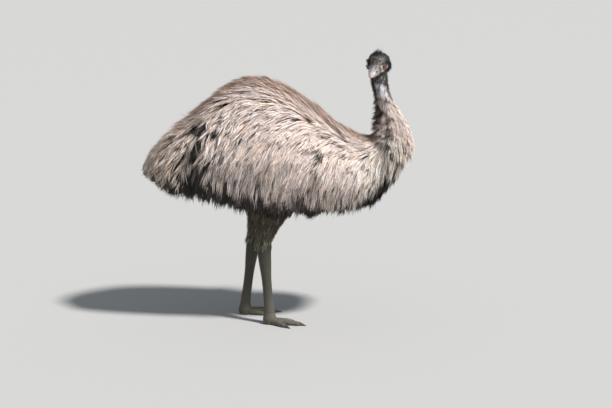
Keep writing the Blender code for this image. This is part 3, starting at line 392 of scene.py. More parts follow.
def raw_mesh(name, points, triangles):
    """A mesh from arrays of points, in the bird's frame, and of triangles."""
    mesh = bpy.data.meshes.new(name)
    points = np.ascontiguousarray(points + SHIFT, np.float32)
    triangles = np.ascontiguousarray(triangles, np.int32)
    mesh.vertices.add(len(points))
    mesh.vertices.foreach_set("co", points.ravel())
    mesh.loops.add(triangles.size)
    mesh.loops.foreach_set("vertex_index", triangles.ravel())
    mesh.polygons.add(len(triangles))
    mesh.polygons.foreach_set("loop_start", np.arange(0, triangles.size, 3, dtype=np.int32))
    mesh.update(calc_edges=True)
    mesh.shade_smooth()
    return mesh


def points_of(piece):
    """The points of a piece's mesh, in the bird's frame."""
    points = np.empty(len(piece.data.vertices) * 3, np.float32)
    piece.data.vertices.foreach_get("co", points)
    return points.reshape(-1, 3) - SHIFT


def set_colours(mesh, colours):
    layer = mesh.color_attributes.new("shade", "FLOAT_COLOR", "POINT")
    data = np.ones((len(mesh.vertices), 4), np.float32)
    data[:, :3] = colours
    layer.data.foreach_set("color", data.ravel())


def only_finish(piece, finish):
    """Gives a piece that booleans have made one smooth finish."""
    piece.data.shade_smooth()
    piece.data.materials.clear()
    piece.data.materials.append(finish)


def dress(piece, slot, *nodes):
    """Rides the piece on the body and hides the nodes that it stands for; slot is not used."""
    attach(piece, "root")
    if nodes:
        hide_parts(*nodes)


def blade_piece(name, slot, parts, thick, profile, finish):
    """One piece of closed, three-sided, tapering blades.

    Each part holds arrays of paths, normals, colours, widths and roots, with a row for each blade.
    """
    paths, normals, colours, width, roots = (np.concatenate(column) for column in zip(*parts))
    blades, steps = paths.shape[:2]
    ahead = unit(np.gradient(paths, axis=1))
    normals = np.broadcast_to(normals if normals.ndim == 3 else normals[:, None], paths.shape)
    across = unit(np.cross(ahead, normals))
    up = np.cross(across, ahead)
    share = np.asarray(profile)[None, :, None]
    half = width[:, None, None] * share / 2
    deep = thick * (0.4 + 0.6 * share)
    body, side, out = paths[:, :-1], across[:, :-1], up[:, :-1]
    rings = np.stack([body + side * half, body + out * deep, body - side * half], axis=2)
    per = (steps - 1) * 3 + 1
    points = np.concatenate([rings.reshape(blades, -1, 3), paths[:, -1:]], axis=1)
    edges = ((0, 1), (1, 2), (2, 0))
    one = [(0, 1, 2)]
    for ring in range(steps - 2):
        a, b = ring * 3, ring * 3 + 3
        for j, k in edges:
            one += [(a + j, b + j, b + k), (a + j, b + k, a + k)]
    a = (steps - 2) * 3
    one = np.array(one + [(a + j, per - 1, a + k) for j, k in edges])
    triangles = (one[None] + (np.arange(blades) * per)[:, None, None]).reshape(-1, 3)
    mesh = raw_mesh(name, points.reshape(-1, 3), triangles)
    around = np.stack([across, up, -across], axis=2) * BLADE_ROUNDING
    lit = unit(normals[:, :-1, None] + around[:, :-1]).reshape(blades, -1, 3)
    lit = np.concatenate([lit, normals[:, -1:]], axis=1)
    mesh.normals_split_custom_set_from_vertices(lit.reshape(-1, 3).astype(np.float32))
    ring_colours = np.repeat(colours[:, :-1], 3, axis=1)
    set_colours(mesh, np.concatenate([ring_colours, colours[:, -1:]], axis=1).reshape(-1, 3))
    # each blade is a small patch at its root's place on the unwrap of the skin
    spot = (roots - roots.min(axis=0)) / np.maximum(np.ptp(roots, axis=0), 1e-6) * (1 - 2 * PATCH) + PATCH / 2
    local = [(j / 2, ring / (steps - 1)) for ring in range(steps - 1) for j in range(3)] + [(0.5, 1.0)]
    places = spot[:, None] + (np.array(local) * PATCH)[None]
    layer = mesh.uv_layers.new(name="OFBake")
    layer.data.foreach_set("uv", places.reshape(-1, 2)[triangles.ravel()].astype(np.float32).ravel())
    dress(link(name, mesh, finish), slot)


def straight(root, way, long, shape):
    """Straight paths from their roots, each in its own way and of its own length."""
    return root[:, None] + way[:, None] * (long[:, None] * shape)[..., None]


def along_surface(way, normal):
    return unit(way - normal * (way * normal).sum(-1, keepdims=True))


def shades(colour, low, high, count, ramp):
    """Colours of blades: one colour, lighter or darker for each by chance, times a ramp from root to tip."""
    return np.asarray(colour) * rng.uniform(low, high, (count, 1, 1)) * ramp[None, :, None]


def clump_blades(points, normals, count, spread, curl, shape, close):
    """Blades of each lock, drawn together to its tip: paths, normals, their locks, how far out they lie."""
    steps, clumps = points.shape[0] - 1, points.shape[1]
    ahead = unit(np.gradient(points, axis=0))
    across = unit(np.cross(ahead, normals))
    which = np.repeat(np.arange(clumps), count)
    total = len(which)
    long = rng.uniform(*BLADE_REACH, total)
    at = shape[None, :] * long[:, None]
    place = at * steps
    low = np.clip(np.floor(place).astype(int), 0, steps - 1)
    part = (place - low)[..., None]
    pick = which[:, None]
    middle, normal, side = (field[low, pick] * (1 - part) + field[low + 1, pick] * part
                            for field in (points, normals, across))
    normal, side = unit(normal), unit(side)
    aside = rng.normal(0, 1, total).clip(-2, 2)
    lift = rng.uniform(-1.0, 1.0, total)
    phase = rng.uniform(0, 2 * math.pi, total)[:, None]
    bend = rng.normal(0, 1, total)[:, None]
    lock_phase = rng.uniform(0, 2 * math.pi, clumps)[which][:, None]
    drawn = 1 - close[which][:, None] * at**0.8
    waves = np.sin(5.0 * at + phase) + np.sin(6.0 * at + lock_phase)
    sway = curl * at**1.5 * (0.6 * bend + 0.5 * waves)
    offset = (spread * aside)[:, None] * drawn + sway
    rise = 0.45 * (spread * lift)[:, None] * (0.4 + drawn) + curl * 0.4 * at**2 * np.cos(4.0 * at + phase)
    return middle + side * offset[..., None] + normal * rise[..., None], normal, which, lift


def markings(u, v):
    """The coat's colour at station u and angle v round the body, with painted shade on its underside and in
    the parting before the tail.
    """
    side = side_of(v)
    line = 0.58 + 0.22 * np.clip(12.0 - u, 0, 1.6)
    low = 0.08 * smooth(u, 9.0, 10.2)
    return layered(
        FLANK,
        (BACK, 1 - smooth(side, 0.10, 0.40)),
        (TAIL, 0.85 * smooth(4.2 - u, 0, 1.4)),
        (CREAM, smooth(u, 9.0, 10.6) * smooth(side, 0.30, 0.6)),
        (NECK, smooth(u, 12.2, 13.2)),
        (NECK_DARK, smooth(u, 12.0, 13.0) * (1 - smooth(side, 0.22, 0.46)) * 0.8),
        (NECK_DARK, 0.8 * bump_at(side, line, 0.055) * smooth(u, 10.3, 11.8)),
        # painted shade on the underside of the coat, reaching higher on the breast
        (PAINTED_COAT_SHADE, smooth(side, 0.88 - low, 0.96 - low) * (1 - smooth(u, 11.0, 11.9))),
        # painted shadow in the parting before the tail
        (PAINTED_COAT_SHADE, 0.8 * parting_shadow(u, v)),
        (CROWN, smooth(u, 15.2, 16.4) * 0.9))


def parting_shadow(u, v):
    """From 0 to 1, the dark of the parting between the body's coat and the tail's, a painted shadow."""
    side = side_of(v)
    line = 4.10 - 0.75 * (side - 0.3) + 0.10 * np.sin(19 * side)
    wide = 0.16 + 0.30 * smooth(side, 0.3, 0.6)
    strong = smooth(side, 0.24, 0.36) * (1 - smooth(side, 0.84, 0.94))
    return bump_at(u, line, wide) * strong * (0.75 + 0.25 * np.sin(31 * side + 1.5))


def clumping(u, v):
    """From 0 to 1, how far the feathers draw together in locks: most at rump and hem."""
    side = side_of(v)
    rear = smooth(6.8 - u, 0, 2.4) * smooth(side, 0.15, 0.5)
    low = smooth(side, 0.62, 0.82) * (1 - smooth(u, 11.2, 12.2))
    return np.clip(0.04 + 0.86 * rear + 0.75 * low, 0, 1)


def gap_share(u, v):
    """The share of the locks that belong to the under layer, which is painted dark as the shade between
    locks.
    """
    side = side_of(v)
    share = 0.06 + 0.33 * smooth(6.4 - u, 0, 2.0) * smooth(side, 0.2, 0.5) + 0.34 * smooth(side, 0.64, 0.84)
    return (share + 0.5 * parting_shadow(u, v)) * (1 - 0.5 * smooth(u, 12.0, 13.0))


def neck_cover(u, v):
    """From 0 to 1, how thickly feathers grow: the sides of the upper neck are nearly bare."""
    side = side_of(v)
    hairy = np.maximum(1 - smooth(side, 0.30, 0.46), 0.5 * smooth(side, 0.93, 0.98))
    return 1 - 0.90 * smooth(u, 14.6, 15.2) * (1 - smooth(u, 16.2, 16.6)) * (1 - hairy)


def feather_colours(base, which, lift, under, at, rough, chance=0.18):
    """Colours along blades: by their lock's shade and their own, dark at some tips, with painted shade that
    darkens the under layer's locks, the blades lying deep in a lock and each blade toward its root.
    """
    clumps, total = len(under), len(which)
    lock_shade = np.clip(1 + rng.normal(0, 1, clumps) * (0.05 + 0.27 * rough), 0.30, 1.40)
    # painted shade: the under layer's locks are darkened for the shade deep between locks
    gap_shade = np.interp(rough, (0, 1), GAP_SHADE) * rng.uniform(0.6, 1.8, clumps)
    lock_shade = (lock_shade * np.where(under, gap_shade, 1.0))[which]
    rough = rough[which]
    darker = rng.uniform(0, 1, total) < 0.08 + 0.26 * rough
    own = np.where(darker, rng.uniform(0.25, 0.60, total), rng.uniform(0.84, 1.20, total) + 0.20 * rough)
    # painted shade: blades that lie deeper in their lock are darker
    own = own * (0.92 + 0.10 * lift)
    warm = rng.normal(0, 0.03, clumps)[which] + rng.normal(0, 0.02, total)
    tip_dark = ((rng.uniform(0, 1, total) < chance) * rng.uniform(0.3, 0.7, total))[:, None]
    # painted shade: each blade darkens toward its root, deep in the coat, most where the coat is in locks
    dark_root = (0.42 - 0.26 * rough)[:, None]
    at = at[None, :]
    ramp = dark_root + (1 - dark_root) * smooth(at, 0.10, 0.60)
    ramp = ramp * (1 + 0.10 * smooth(at, 0.7, 1.0)) * (1 - tip_dark * smooth(at, 0.80, 0.98))
    colour = base[:, None, :] * (lock_shade * own)[:, None, None] * ramp[..., None]
    return colour * columns(1 + warm, 1.0, 1 - warm)[:, None, :]


def coat_stretch(name, u_range, v_range, spacing, length, count, width, thick, finish,
                 spread=0.0075, curl=0.01, tips=(-0.12, 0.16), swing=0.17, fine=False):
    """One piece of the coat: locks over a stretch of the body, count blades in each.

    Some are of an under layer, painted dark as the shade between locks. Fine ones, on the neck, don't hang
    free.
    """
    u, v = scatter(u_range, v_range, spacing)
    grown = rng.uniform(0, 1, len(u)) < neck_cover(u, v)
    u, v = u[grown], v[grown]
    total = len(u)
    under = rng.uniform(0, 1, total) < gap_share(u, v)
    lengths = length * rng.uniform(0.75, 1.20, total)
    sway = rng.normal(0, swing, total).clip(-2 * swing, 2 * swing)
    tip_share = np.where(under, rng.uniform(0.22, 0.48, total), rng.uniform(*tips, total))
    hang = np.ones(total)
    if not fine:
        points, _ = walk(u, v, lengths, tip_share, sway)
        start, tip, x = points[0, :, 2], points[-1, :, 2], points[-1, :, 0]
        shorter = LIGHT_HEM * (1 - smooth(x, 0.08, 0.26) + 1.1 * smooth(x, 0.36, 0.44))
        ragged = rng.uniform(-0.01, 0.022, total), shorter + rng.uniform(-0.01, 0.045, total)
        fit = np.clip((start - hem(x) - np.where(under, *ragged)) / np.maximum(start - tip, 1e-6), 0, 1)
        hang = (fit > SHORTEST_HANG).astype(float)
        lengths = lengths * np.where(hang > 0, fit, UNDER_LENGTH)
    points, normals = walk(u, v, lengths, tip_share, sway, hang)
    shape, profile = (SHORT, SHORT_PROFILE) if fine else (LONG, LONG_PROFILE)
    rough = clumping(u, v)
    wide = spread * (1.25 - 0.25 * rough)[np.repeat(np.arange(total), count)]
    close = 0.40 + 0.52 * rough
    paths, normal, which, lift = clump_blades(points, normals, count, wide, curl, shape, close)
    colours = feather_colours(markings(u, v)[which], which, lift, under, shape, rough)
    widths = width * rng.uniform(0.6, 1.25, len(which))
    roots = columns(u, v)[which] + rng.uniform(-0.01, 0.01, (len(which), 2))
    blade_piece(name, "coat", [(paths, normal, colours, widths, roots)], thick, profile, finish)


def shader_of(name, roughness, specular=0.5):
    made = bpy.data.materials.new(name)
    made.use_nodes = True
    nodes = made.node_tree.nodes
    shader = nodes["Principled BSDF"]
    shader.inputs["Roughness"].default_value = roughness
    shader.inputs["Specular IOR Level"].default_value = specular
    return made, nodes, made.node_tree.links, shader


def add_node(nodes, kind, **values):
    """A shader node with values for its inputs; an underscore stands for a space in an input's name."""
    made = nodes.new("ShaderNode" + kind)
    for key, value in values.items():
        made.inputs[key.replace("_", " ")].default_value = value
    return made


def add_paint(nodes):
    paint = add_node(nodes, "VertexColor")
    paint.layer_name = "shade"
    return paint.outputs["Color"]


def painted(name, roughness, specular, scale, depth, bump=0.0, distance=0.0):
    """A material of the mesh's own colours, mottled by noise at a scale, with bump from a finer one."""
    made, nodes, links, shader = shader_of(name, roughness, specular)
    paint = add_paint(nodes)
    where = add_node(nodes, "TexCoord").outputs["Object"]
    mottle = add_node(nodes, "TexNoise", Scale=scale, Detail=6.0)
    ramp = add_node(nodes, "MapRange", From_Min=0.3, From_Max=0.7, To_Min=1.0 - depth, To_Max=1.0 + depth)
    tinted = add_node(nodes, "VectorMath")
    tinted.operation = "SCALE"
    pairs = [(where, mottle.inputs["Vector"]), (mottle.outputs["Fac"], ramp.inputs["Value"]),
             (paint, tinted.inputs[0]), (ramp.outputs["Result"], tinted.inputs["Scale"]),
             (tinted.outputs["Vector"], shader.inputs["Base Color"])]
    if bump:
        rough = add_node(nodes, "TexNoise", Scale=scale * 4, Detail=4.0)
        relief = add_node(nodes, "Bump", Strength=bump, Distance=distance)
        pairs += [(where, rough.inputs["Vector"]), (rough.outputs["Fac"], relief.inputs["Height"]),
                  (relief.outputs["Normal"], shader.inputs["Normal"])]
    for pair in pairs:
        links.new(*pair)
    return made


def grid_mesh(rings, tip=None):
    """Points and triangles of a closed body through rings of points, each end closed by a fan."""
    rings = np.asarray(rings, float)
    count, around = rings.shape[:2]
    last = rings[-1].mean(axis=0) if tip is None else np.asarray(tip, float)
    points = np.concatenate([rings.reshape(-1, 3), rings[0].mean(axis=0)[None], last[None]])
    here = np.arange(count * around).reshape(count, around)
    there = np.roll(here, -1, axis=1)
    a, b, c, d = (corner.ravel() for corner in (here[:-1], there[:-1], there[1:], here[1:]))
    first = count * around
    faces = [(a, b, c), (a, c, d), (there[0], here[0], first), (here[-1], there[-1], first + 1)]
    triangles = np.concatenate([columns(*face) for face in faces])
    corners = points[triangles]
    volume = np.einsum("ij,ij->i", corners[:, 0], np.cross(corners[:, 1], corners[:, 2])).sum()
    return points, triangles if volume > 0 else triangles[:, ::-1]


def grid_object(name, rings, finish, tip=None):
    return link(name, raw_mesh(name, *grid_mesh(rings, tip)), finish)


def settle(obj, change):
    """Applies one modifier to the object's mesh."""
    graph = bpy.context.evaluated_depsgraph_get()
    made = bpy.data.meshes.new_from_object(obj.evaluated_get(graph))
    obj.modifiers.remove(change)
    old, obj.data = obj.data, made
    bpy.data.meshes.remove(old)


def combine(obj, others, operation="UNION"):
    for other in others:
        change = obj.modifiers.new("join", "BOOLEAN")
        change.operation, change.solver, change.object = operation, "MANIFOLD", other
        settle(obj, change)
        mesh = other.data
        bpy.data.objects.remove(other)
        bpy.data.meshes.remove(mesh)


def head_axes():
    turn, dip = math.radians(HEAD_TURN), math.radians(HEAD_DIP)
    ahead = np.array([math.cos(turn) * math.cos(dip), math.sin(turn) * math.cos(dip), -math.sin(dip)])
    left = np.array([-math.sin(turn), math.cos(turn), 0.0])
    return np.array([ahead, left, np.cross(ahead, left)])


def in_world(points):
    """Points of the head's own frame in the bird's."""
    return np.asarray(HEAD_AT) + np.asarray(points, float) @ head_axes()


def in_head(points):
    return (np.asarray(points, float) - np.asarray(HEAD_AT)) @ head_axes().T


# what moves the bird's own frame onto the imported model
SHIFT = (middle_of("eye_left") + middle_of("eye_right")) / 2 - in_world((EYE_AT[0], 0.0, EYE_AT[2]))


def head_surface(ahead, angle):
    """Points of the head and bill in the head's frame; angle 0 is the top, a quarter turn the left."""
    ahead, angle = np.broadcast_arrays(np.asarray(ahead, float), np.asarray(angle, float))
    table = np.array(HEAD_SECTIONS)
    rows = along_rows(table, np.interp(ahead, table[:, 0], np.arange(len(table))))
    _, half_width, top, bottom = np.moveaxis(rows, -1, 0)
    power = 2 / HEAD_SQUARE
    across, up = (np.sign(wave) * np.abs(wave) ** power for wave in (np.sin(angle), np.cos(angle)))
    return columns(ahead, half_width * across, (top + bottom) / 2 + (top - bottom) / 2 * up)


def mouth_height(ahead):
    share = np.clip((ahead - GAPE[0]) / (BILL_TIP - GAPE[0]), 0, 1)
    return GAPE[1] + (BILL_TIP_HEIGHT - GAPE[1]) * share - 0.0015 * np.sin(math.pi * share)


def ball(name, centre, sizes, finish, turn=0.0, segments=40, rings=24):
    """A sphere stretched along the axes of the head's frame, then turned by degrees about the upright one."""
    c, s = math.cos(math.radians(turn)), math.sin(math.radians(turn))
    turned = np.array([(c, s, 0), (-s, c, 0), (0, 0, 1)])

    def place(shape):
        return in_world(shape * np.asarray(sizes) @ turned + np.asarray(centre))

    climbs = np.linspace(-math.pi / 2, math.pi / 2, rings + 2)[1:-1, None]
    angles = turns(segments)
    shape = columns(np.sin(climbs), np.cos(climbs) * np.cos(angles), np.cos(climbs) * np.sin(angles))
    points, triangles = grid_mesh(place(shape))
    points[-2:] = place(np.array([(-1, 0, 0), (1, 0, 0)]))
    return link(name, raw_mesh(name, points, triangles), finish)


def eye_look(sign):
    """The way that an eye looks, in the head's frame."""
    turn = math.radians(EYE_TURN)
    return np.array([math.sin(turn), sign * math.cos(turn), 0.0])


def limb_rings(top, foot, sections, around, rows, grow=0.0):
    """Level rings from top to foot."""
    top, foot = np.array(top), np.array(foot)
    angles = turns(around)
    rings = []
    for share in np.linspace(0, 1, rows):
        deep, wide = at_share(sections, share) + grow
        rings.append(top + (foot - top) * share + columns(deep * np.cos(angles), wide * np.sin(angles), 0.0))
    return np.array(rings)


def mouth_slit(finish):
    """A thin wedge along the line of the mouth, from its corner to the base of the bill."""
    half_across = 0.06
    corners = [(side * half_across, rise * GAPE_GAP) for side, rise in ((-1, -1), (1, -1), (1, 1), (-1, 1))]
    rings = [[(ahead, y, mouth_height(ahead) + z) for y, z in corners]
             for ahead in np.linspace(GAPE[0], BILL_BASE + 0.003, 12)]
    return grid_object("slit", in_world(np.array(rings)), finish)


def build_skin(finish):
    """One skin over the body, neck, head and thighs, with lids, brows, ears and the corner of the mouth."""
    body = grid_object("skin", [body_point(u, turns(120), SKIN_SHARE) for u in SKIN_STATIONS], finish)
    for side in SIDES:
        hock = HOCK[side] - [0, 0, 0.004]
        rings = limb_rings(THIGH_TOP[side], hock, THIGH_SECTIONS, 48, 60, -0.004)
        combine(body, [grid_object("thigh", rings, finish)])

    around = turns(96)
    stations = np.concatenate([[-0.0618, -0.0605, -0.058], np.linspace(-0.055, BILL_BASE - 0.0002, 70)])
    head = grid_object("head", [in_world(head_surface(a, around)) for a in stations], finish)
    stub = [body_point(u, around, SKIN_SHARE - 0.05) for u in np.linspace(14.7, 18.0, 60)]
    parts, cutters = [grid_object("stub", stub, finish)], []
    for sign in (-1, 1):
        for name, (x, y, z), sizes, turn in HEAD_FORMS:
            parts.append(ball(name, (x, sign * y, z), sizes, finish, -sign * turn))
    combine(head, parts)
    change = head.modifiers.new("skin", "REMESH")
    change.mode, change.voxel_size = "VOXEL", 0.0013
    settle(head, change)
    change = head.modifiers.new("soften", "SMOOTH")
    change.factor, change.iterations = 0.5, 3
    settle(head, change)
    for sign in (-1, 1):
        x, y, z = EYE_AT
        gaze = np.array([x, sign * y, z]) + eye_look(sign) * 0.015
        cutters.append(ball("opening", gaze, (0.0104, 0.011, 0.0078), finish, -sign * EYE_TURN))
        cutters.append(ball("socket", (x, sign * y, z), (EYE_RADIUS + 0.0003,) * 3, finish))
        x, y, z = EAR_AT
        sizes = (EAR_RADIUS * 0.8, 0.008, EAR_RADIUS)
        cutters.append(ball("hole", (x, sign * (y + 0.003), z), sizes, finish))
    cutters.append(mouth_slit(finish))
    combine(head, cutters, "DIFFERENCE")
    combine(body, [head])
    set_colours(body.data, skin_colours(points_of(body)))
    only_finish(body, finish)
    dress(body, "neck_skin", "tail", "torso", "breast", "neck_lower", "neck_upper", "head",
          "thigh_right", "thigh_left", "wing_right", "wing_left")


def round_eye(local):
    """Places on the head round the nearer eye, across its look: ahead of it and above it, in metres."""
    turn = math.radians(EYE_TURN)
    off = columns(local[:, 0], np.abs(local[:, 1]), local[:, 2]) - EYE_AT
    return off @ np.array([math.cos(turn), -math.sin(turn), 0.0]), off[:, 2]


def oval(x, y, centre, sizes, soft=0.25):
    """1 inside an oval, 0 outside, with a soft edge."""
    far = np.hypot((x - centre[0]) / sizes[0], (y - centre[1]) / sizes[1])
    return 1 - smooth(far, 1 - soft, 1 + soft)


def skin_colours(points):
    """Dark under the coat, blue-grey on the bare neck, with painted shade in its fine creases, and round the
    eye, beige lores, orange gape.
    """
    x, y, z = points.T
    bare = smooth(z, 0.985, 1.03) * smooth(x, 0.425 - 0.10 * (z - 1.0), 0.44 - 0.10 * (z - 1.0))
    blotch = 0.5 + 0.5 * np.sin(x * 210 + 2 * np.sin(z * 130)) * np.sin(z * 160 + 2 * np.sin(y * 230))
    crease = 0.5 + 0.5 * np.sin(z * 1300 + 3 * np.sin(x * 170) + 2 * np.sin(y * 240))
    # painted shade in the fine creases of the bare neck
    naked = layered(BARE, (BARE_BLUE, blotch), (BARE_CREASE_SHADE, 0.35 * crease))
    local = in_head(points)
    ahead, across, height = local.T
    far = np.linalg.norm((local - [0.0, 0.0, -0.002]) / [0.078, 0.052, 0.049], axis=-1)
    on_head = 1 - smooth(far, 0.88, 1.02)
    eye = round_eye(local)
    beside = on_head * smooth(np.abs(across), 0.016, 0.024)
    lores = smooth(ahead, 0.012, 0.022) * smooth(height, -0.026, -0.018) * (1 - smooth(height, 0.011, 0.018))
    return layered(
        SKIN_HIDDEN,
        (naked, bare),
        (SKIN_HEAD, on_head),
        (LORES, on_head * lores),
        (UNDER_EYE, beside * oval(*eye, (-0.01, -0.0085), (0.019, 0.007), 0.4)),
        (BEHIND_EYE, beside * oval(*eye, (-0.0185, 0.00), (0.007, 0.0085), 0.4)),
        (LID, beside * oval(*eye, (0.0, 0.001), (0.0128, 0.0104), 0.12)),
        (GAPE_ORANGE, beside * oval(ahead, height, (0.012, -0.0205), (0.0085, 0.0035))))


def build_eyes():
    """Glossy eyeballs with a dark pupil, an orange iris that darkens to its rim, and a bulging cornea."""
    made, nodes, links, shader = shader_of("eye_gloss", 0.08, 0.35)
    shader.inputs["Coat Weight"].default_value = 0.5
    shader.inputs["Coat Roughness"].default_value = 0.02
    links.new(add_paint(nodes), shader.inputs["Base Color"])
    for side, sign in SIDES.items():
        centre = np.array([EYE_AT[0], sign * EYE_AT[1], EYE_AT[2]])
        look = eye_look(sign)
        first = unit(np.cross(look, [0.0, 0.0, 1.0]))
        second = np.cross(look, first)
        around = turns(72)[:, None]
        tilts = np.linspace(0, math.pi, 90)[1:-1, None, None]
        radii = EYE_RADIUS - CORNEA + CORNEA * smooth(-tilts, -0.75, -0.35)
        out = np.cos(around) * first + np.sin(around) * second
        rings = radii * (np.cos(tilts) * look + np.sin(tilts) * out)
        eye = grid_object(f"eye_ball_{side}", in_world(rings + centre), made)
        local = in_head(points_of(eye)) - centre
        tilt = np.arccos(np.clip(unit(local) @ look, -1, 1))
        turn = np.arctan2(local @ second, local @ first)
        streak = 0.10 * np.sin(23 * turn + 2 * np.sin(7 * turn)) + 0.07 * np.sin(41 * turn)
        iris = mix(IRIS, IRIS_RIM, smooth(tilt + streak * 0.2, 0.40, 0.64)) * (1 + streak)[:, None]
        colour = layered(PUPIL, (iris, smooth(tilt, 0.275, 0.315)), (EYE_EDGE, smooth(tilt, 0.66, 0.76)))
        set_colours(eye.data, colour)
        dress(eye, "eye", f"eye_{side}")


def bill_surface(ahead, angle):
    """The bill's own surface: the head's section with a rounded ridge and shallow grooves at its sides."""
    points = head_surface(ahead, angle)
    ridge = bump_at(points[..., 1], 0.0, 0.0045) * smooth(-ahead, -0.092, -0.075)
    groove = bump_at(np.abs(points[..., 1]), 0.0105, 0.0035) * smooth(-ahead, -0.084, -0.068)
    points[..., 2] += (np.cos(angle) > 0) * (0.0016 * ridge - 0.0011 * groove)
    return points


def bill_colours(points):
    """Grey horn, paler along the mouth and to the tip, dark and mottled to the base, with painted shade in
    and round the nostrils.
    """
    ahead, across, height = in_head(points).T
    edge = smooth(mouth_height(ahead) + 0.009 - height, 0.0, 0.006)
    streak = 0.5 + 0.5 * np.sin(across * 1900 + 4 * np.sin(ahead * 160)) * np.sin(ahead * 300 + 2)
    groove = smooth(-ahead, -0.09, -0.07) * smooth(ahead, 0.04, 0.05)
    groove = groove * bump_at(np.abs(across), 0.0085, 0.0022)
    mottle = 0.5 + 0.5 * np.sin(across * 700 + 3 * np.sin(ahead * 410)) * np.sin(ahead * 620 + height * 900)
    joining = 1 - smooth(ahead + 0.0025 * np.sin(across * 1100), BILL_BASE - 0.001, BILL_BASE + 0.013)
    off = (columns(ahead, np.abs(across), height) - NOSTRIL_AT) / NOSTRIL_SHADE
    return layered(
        HORN,
        (HORN_PALE, np.maximum(0.85 * edge, smooth(ahead, 0.066, 0.094))),
        (HORN_DARK, 0.65 * (1 - smooth(ahead, 0.04, 0.066)) * (1 - edge)),
        (HORN_STREAK, 0.28 * streak * (1 - edge)),
        (HORN_GROOVE, 0.55 * groove * (1 - edge)),
        (HORN_MOTTLE, 0.50 * mottle * (1 - smooth(ahead, 0.06, 0.092))),
        (HORN_BASE, 0.85 * joining),
        # painted shade in and round each nostril
        (NOSTRIL_PAINTED_SHADE, smooth(-np.linalg.norm(off, axis=-1), -1.15, -0.9)))


def build_bill(finish):
    """Upper and lower bill with the nostrils, the ridge and the hooked nail."""
    around = turns(120)
    start = BILL_BASE - 0.003
    upper_rings, lower_rings = [], []
    for ahead in np.linspace(start, 0.0992, 84):
        ring = bill_surface(np.full(len(around), ahead), around)
        ring[:, 1] *= 1.0 + 0.03 * np.clip((BILL_BASE - ahead) / 0.003, -1, 0)
        edge = mouth_height(ahead) + 0.0002
        ring[:, 2] = np.where(ring[:, 2] < edge, edge - 0.0002 * np.cos(ring[:, 1] / 0.012), ring[:, 2])
        upper_rings.append(in_world(ring))
    for ahead in np.linspace(start, 0.0945, 60):
        ring = head_surface(np.full(len(around), ahead), around)
        ring[:, 1] *= 0.94
        ring[:, 2] = np.minimum(ring[:, 2], mouth_height(ahead) - 0.0002)
        lower_rings.append(in_world(ring))
    tip = in_world((BILL_TIP, 0, BILL_TIP_HEIGHT + 0.0012))
    upper = grid_object("bill_upper_horn", upper_rings, finish, tip)
    x, y, z = NOSTRIL_AT
    nostrils = [ball("nostril", (x, sign * y, z), NOSTRIL_SIZE, finish) for sign in (-1, 1)]
    combine(upper, nostrils, "DIFFERENCE")
    tip = in_world((BILL_TIP - LOWER_BILL_SHORT, 0, BILL_TIP_HEIGHT - 0.0012))
    lower = grid_object("bill_lower_horn", lower_rings, finish, tip)
    for piece, node, shade in ((upper, "bill_upper", 1.0), (lower, "bill_lower", 0.8)):
        set_colours(piece.data, bill_colours(points_of(piece)) * shade)
        only_finish(piece, finish)
        dress(piece, "bill", node)


def cells(along, round_, rows, columns):
    """Heights from 0 to 1 of rounded scales set in staggered rows; both coordinates run from 0 to 1."""
    y = along * rows
    x = round_ * columns + 0.5 * (np.floor(y) % 2)
    dx, dy = (x % 1.0) - 0.5, (y % 1.0) - 0.5
    return np.clip(1 - (np.abs(2 * dx) ** 3 + np.abs(2 * dy) ** 3), 0, 1) ** 0.5


def leg_relief(angles, share):
    """Broad plates down the front, a toothed row down the back and small scales at the sides, in metres."""
    step = share * SHANK_PLATES % 1.0
    front = smooth(np.cos(angles), 0.35, 0.75)
    rear = smooth(-np.cos(angles), 0.80, 0.97)
    plate = np.clip(step * 9, 0, 1) * (0.55 + 0.45 * step) * np.clip((1 - step) * 16, 0, 1)
    tooth = step**1.5 * np.clip((1 - step) * 12, 0, 1)
    small = cells(np.full_like(angles, share), (angles / (2 * math.pi)) % 1.0, 64, 18)
    return front * plate * 0.0011 + rear * tooth * 0.003 + (1 - np.maximum(front, rear)) * small * 0.0007


def shank_rings(side):
    """Rings of the shank from a little above the hock to the ankle, with its scales and the hock's knob."""
    angles = turns(LEG_AROUND)
    top, foot = HOCK[side], ANKLE[side]
    above = top + (THIGH_TOP[side] - top) * 0.12
    rings = []
    for share in np.linspace(-0.10, 1.0, 420):
        if share < 0:
            middle = top + (above - top) * (-share / 0.10)
            deep, wide = np.array(TARSUS_SECTIONS[0]) * (1 + 1.2 * share)
        else:
            middle = top + (foot - top) * share
            deep, wide = at_share(TARSUS_SECTIONS, share)
        raised = leg_relief(angles, max(share, 0.0))
        knob = 0.0045 * bump_at(share, 0.045, 0.06) * smooth(np.cos(angles), 0.0, 0.9)
        x, y = (deep + raised + knob) * np.cos(angles), (wide + raised) * np.sin(angles)
        rings.append(middle + columns(x, y, 0.0))
    return rings


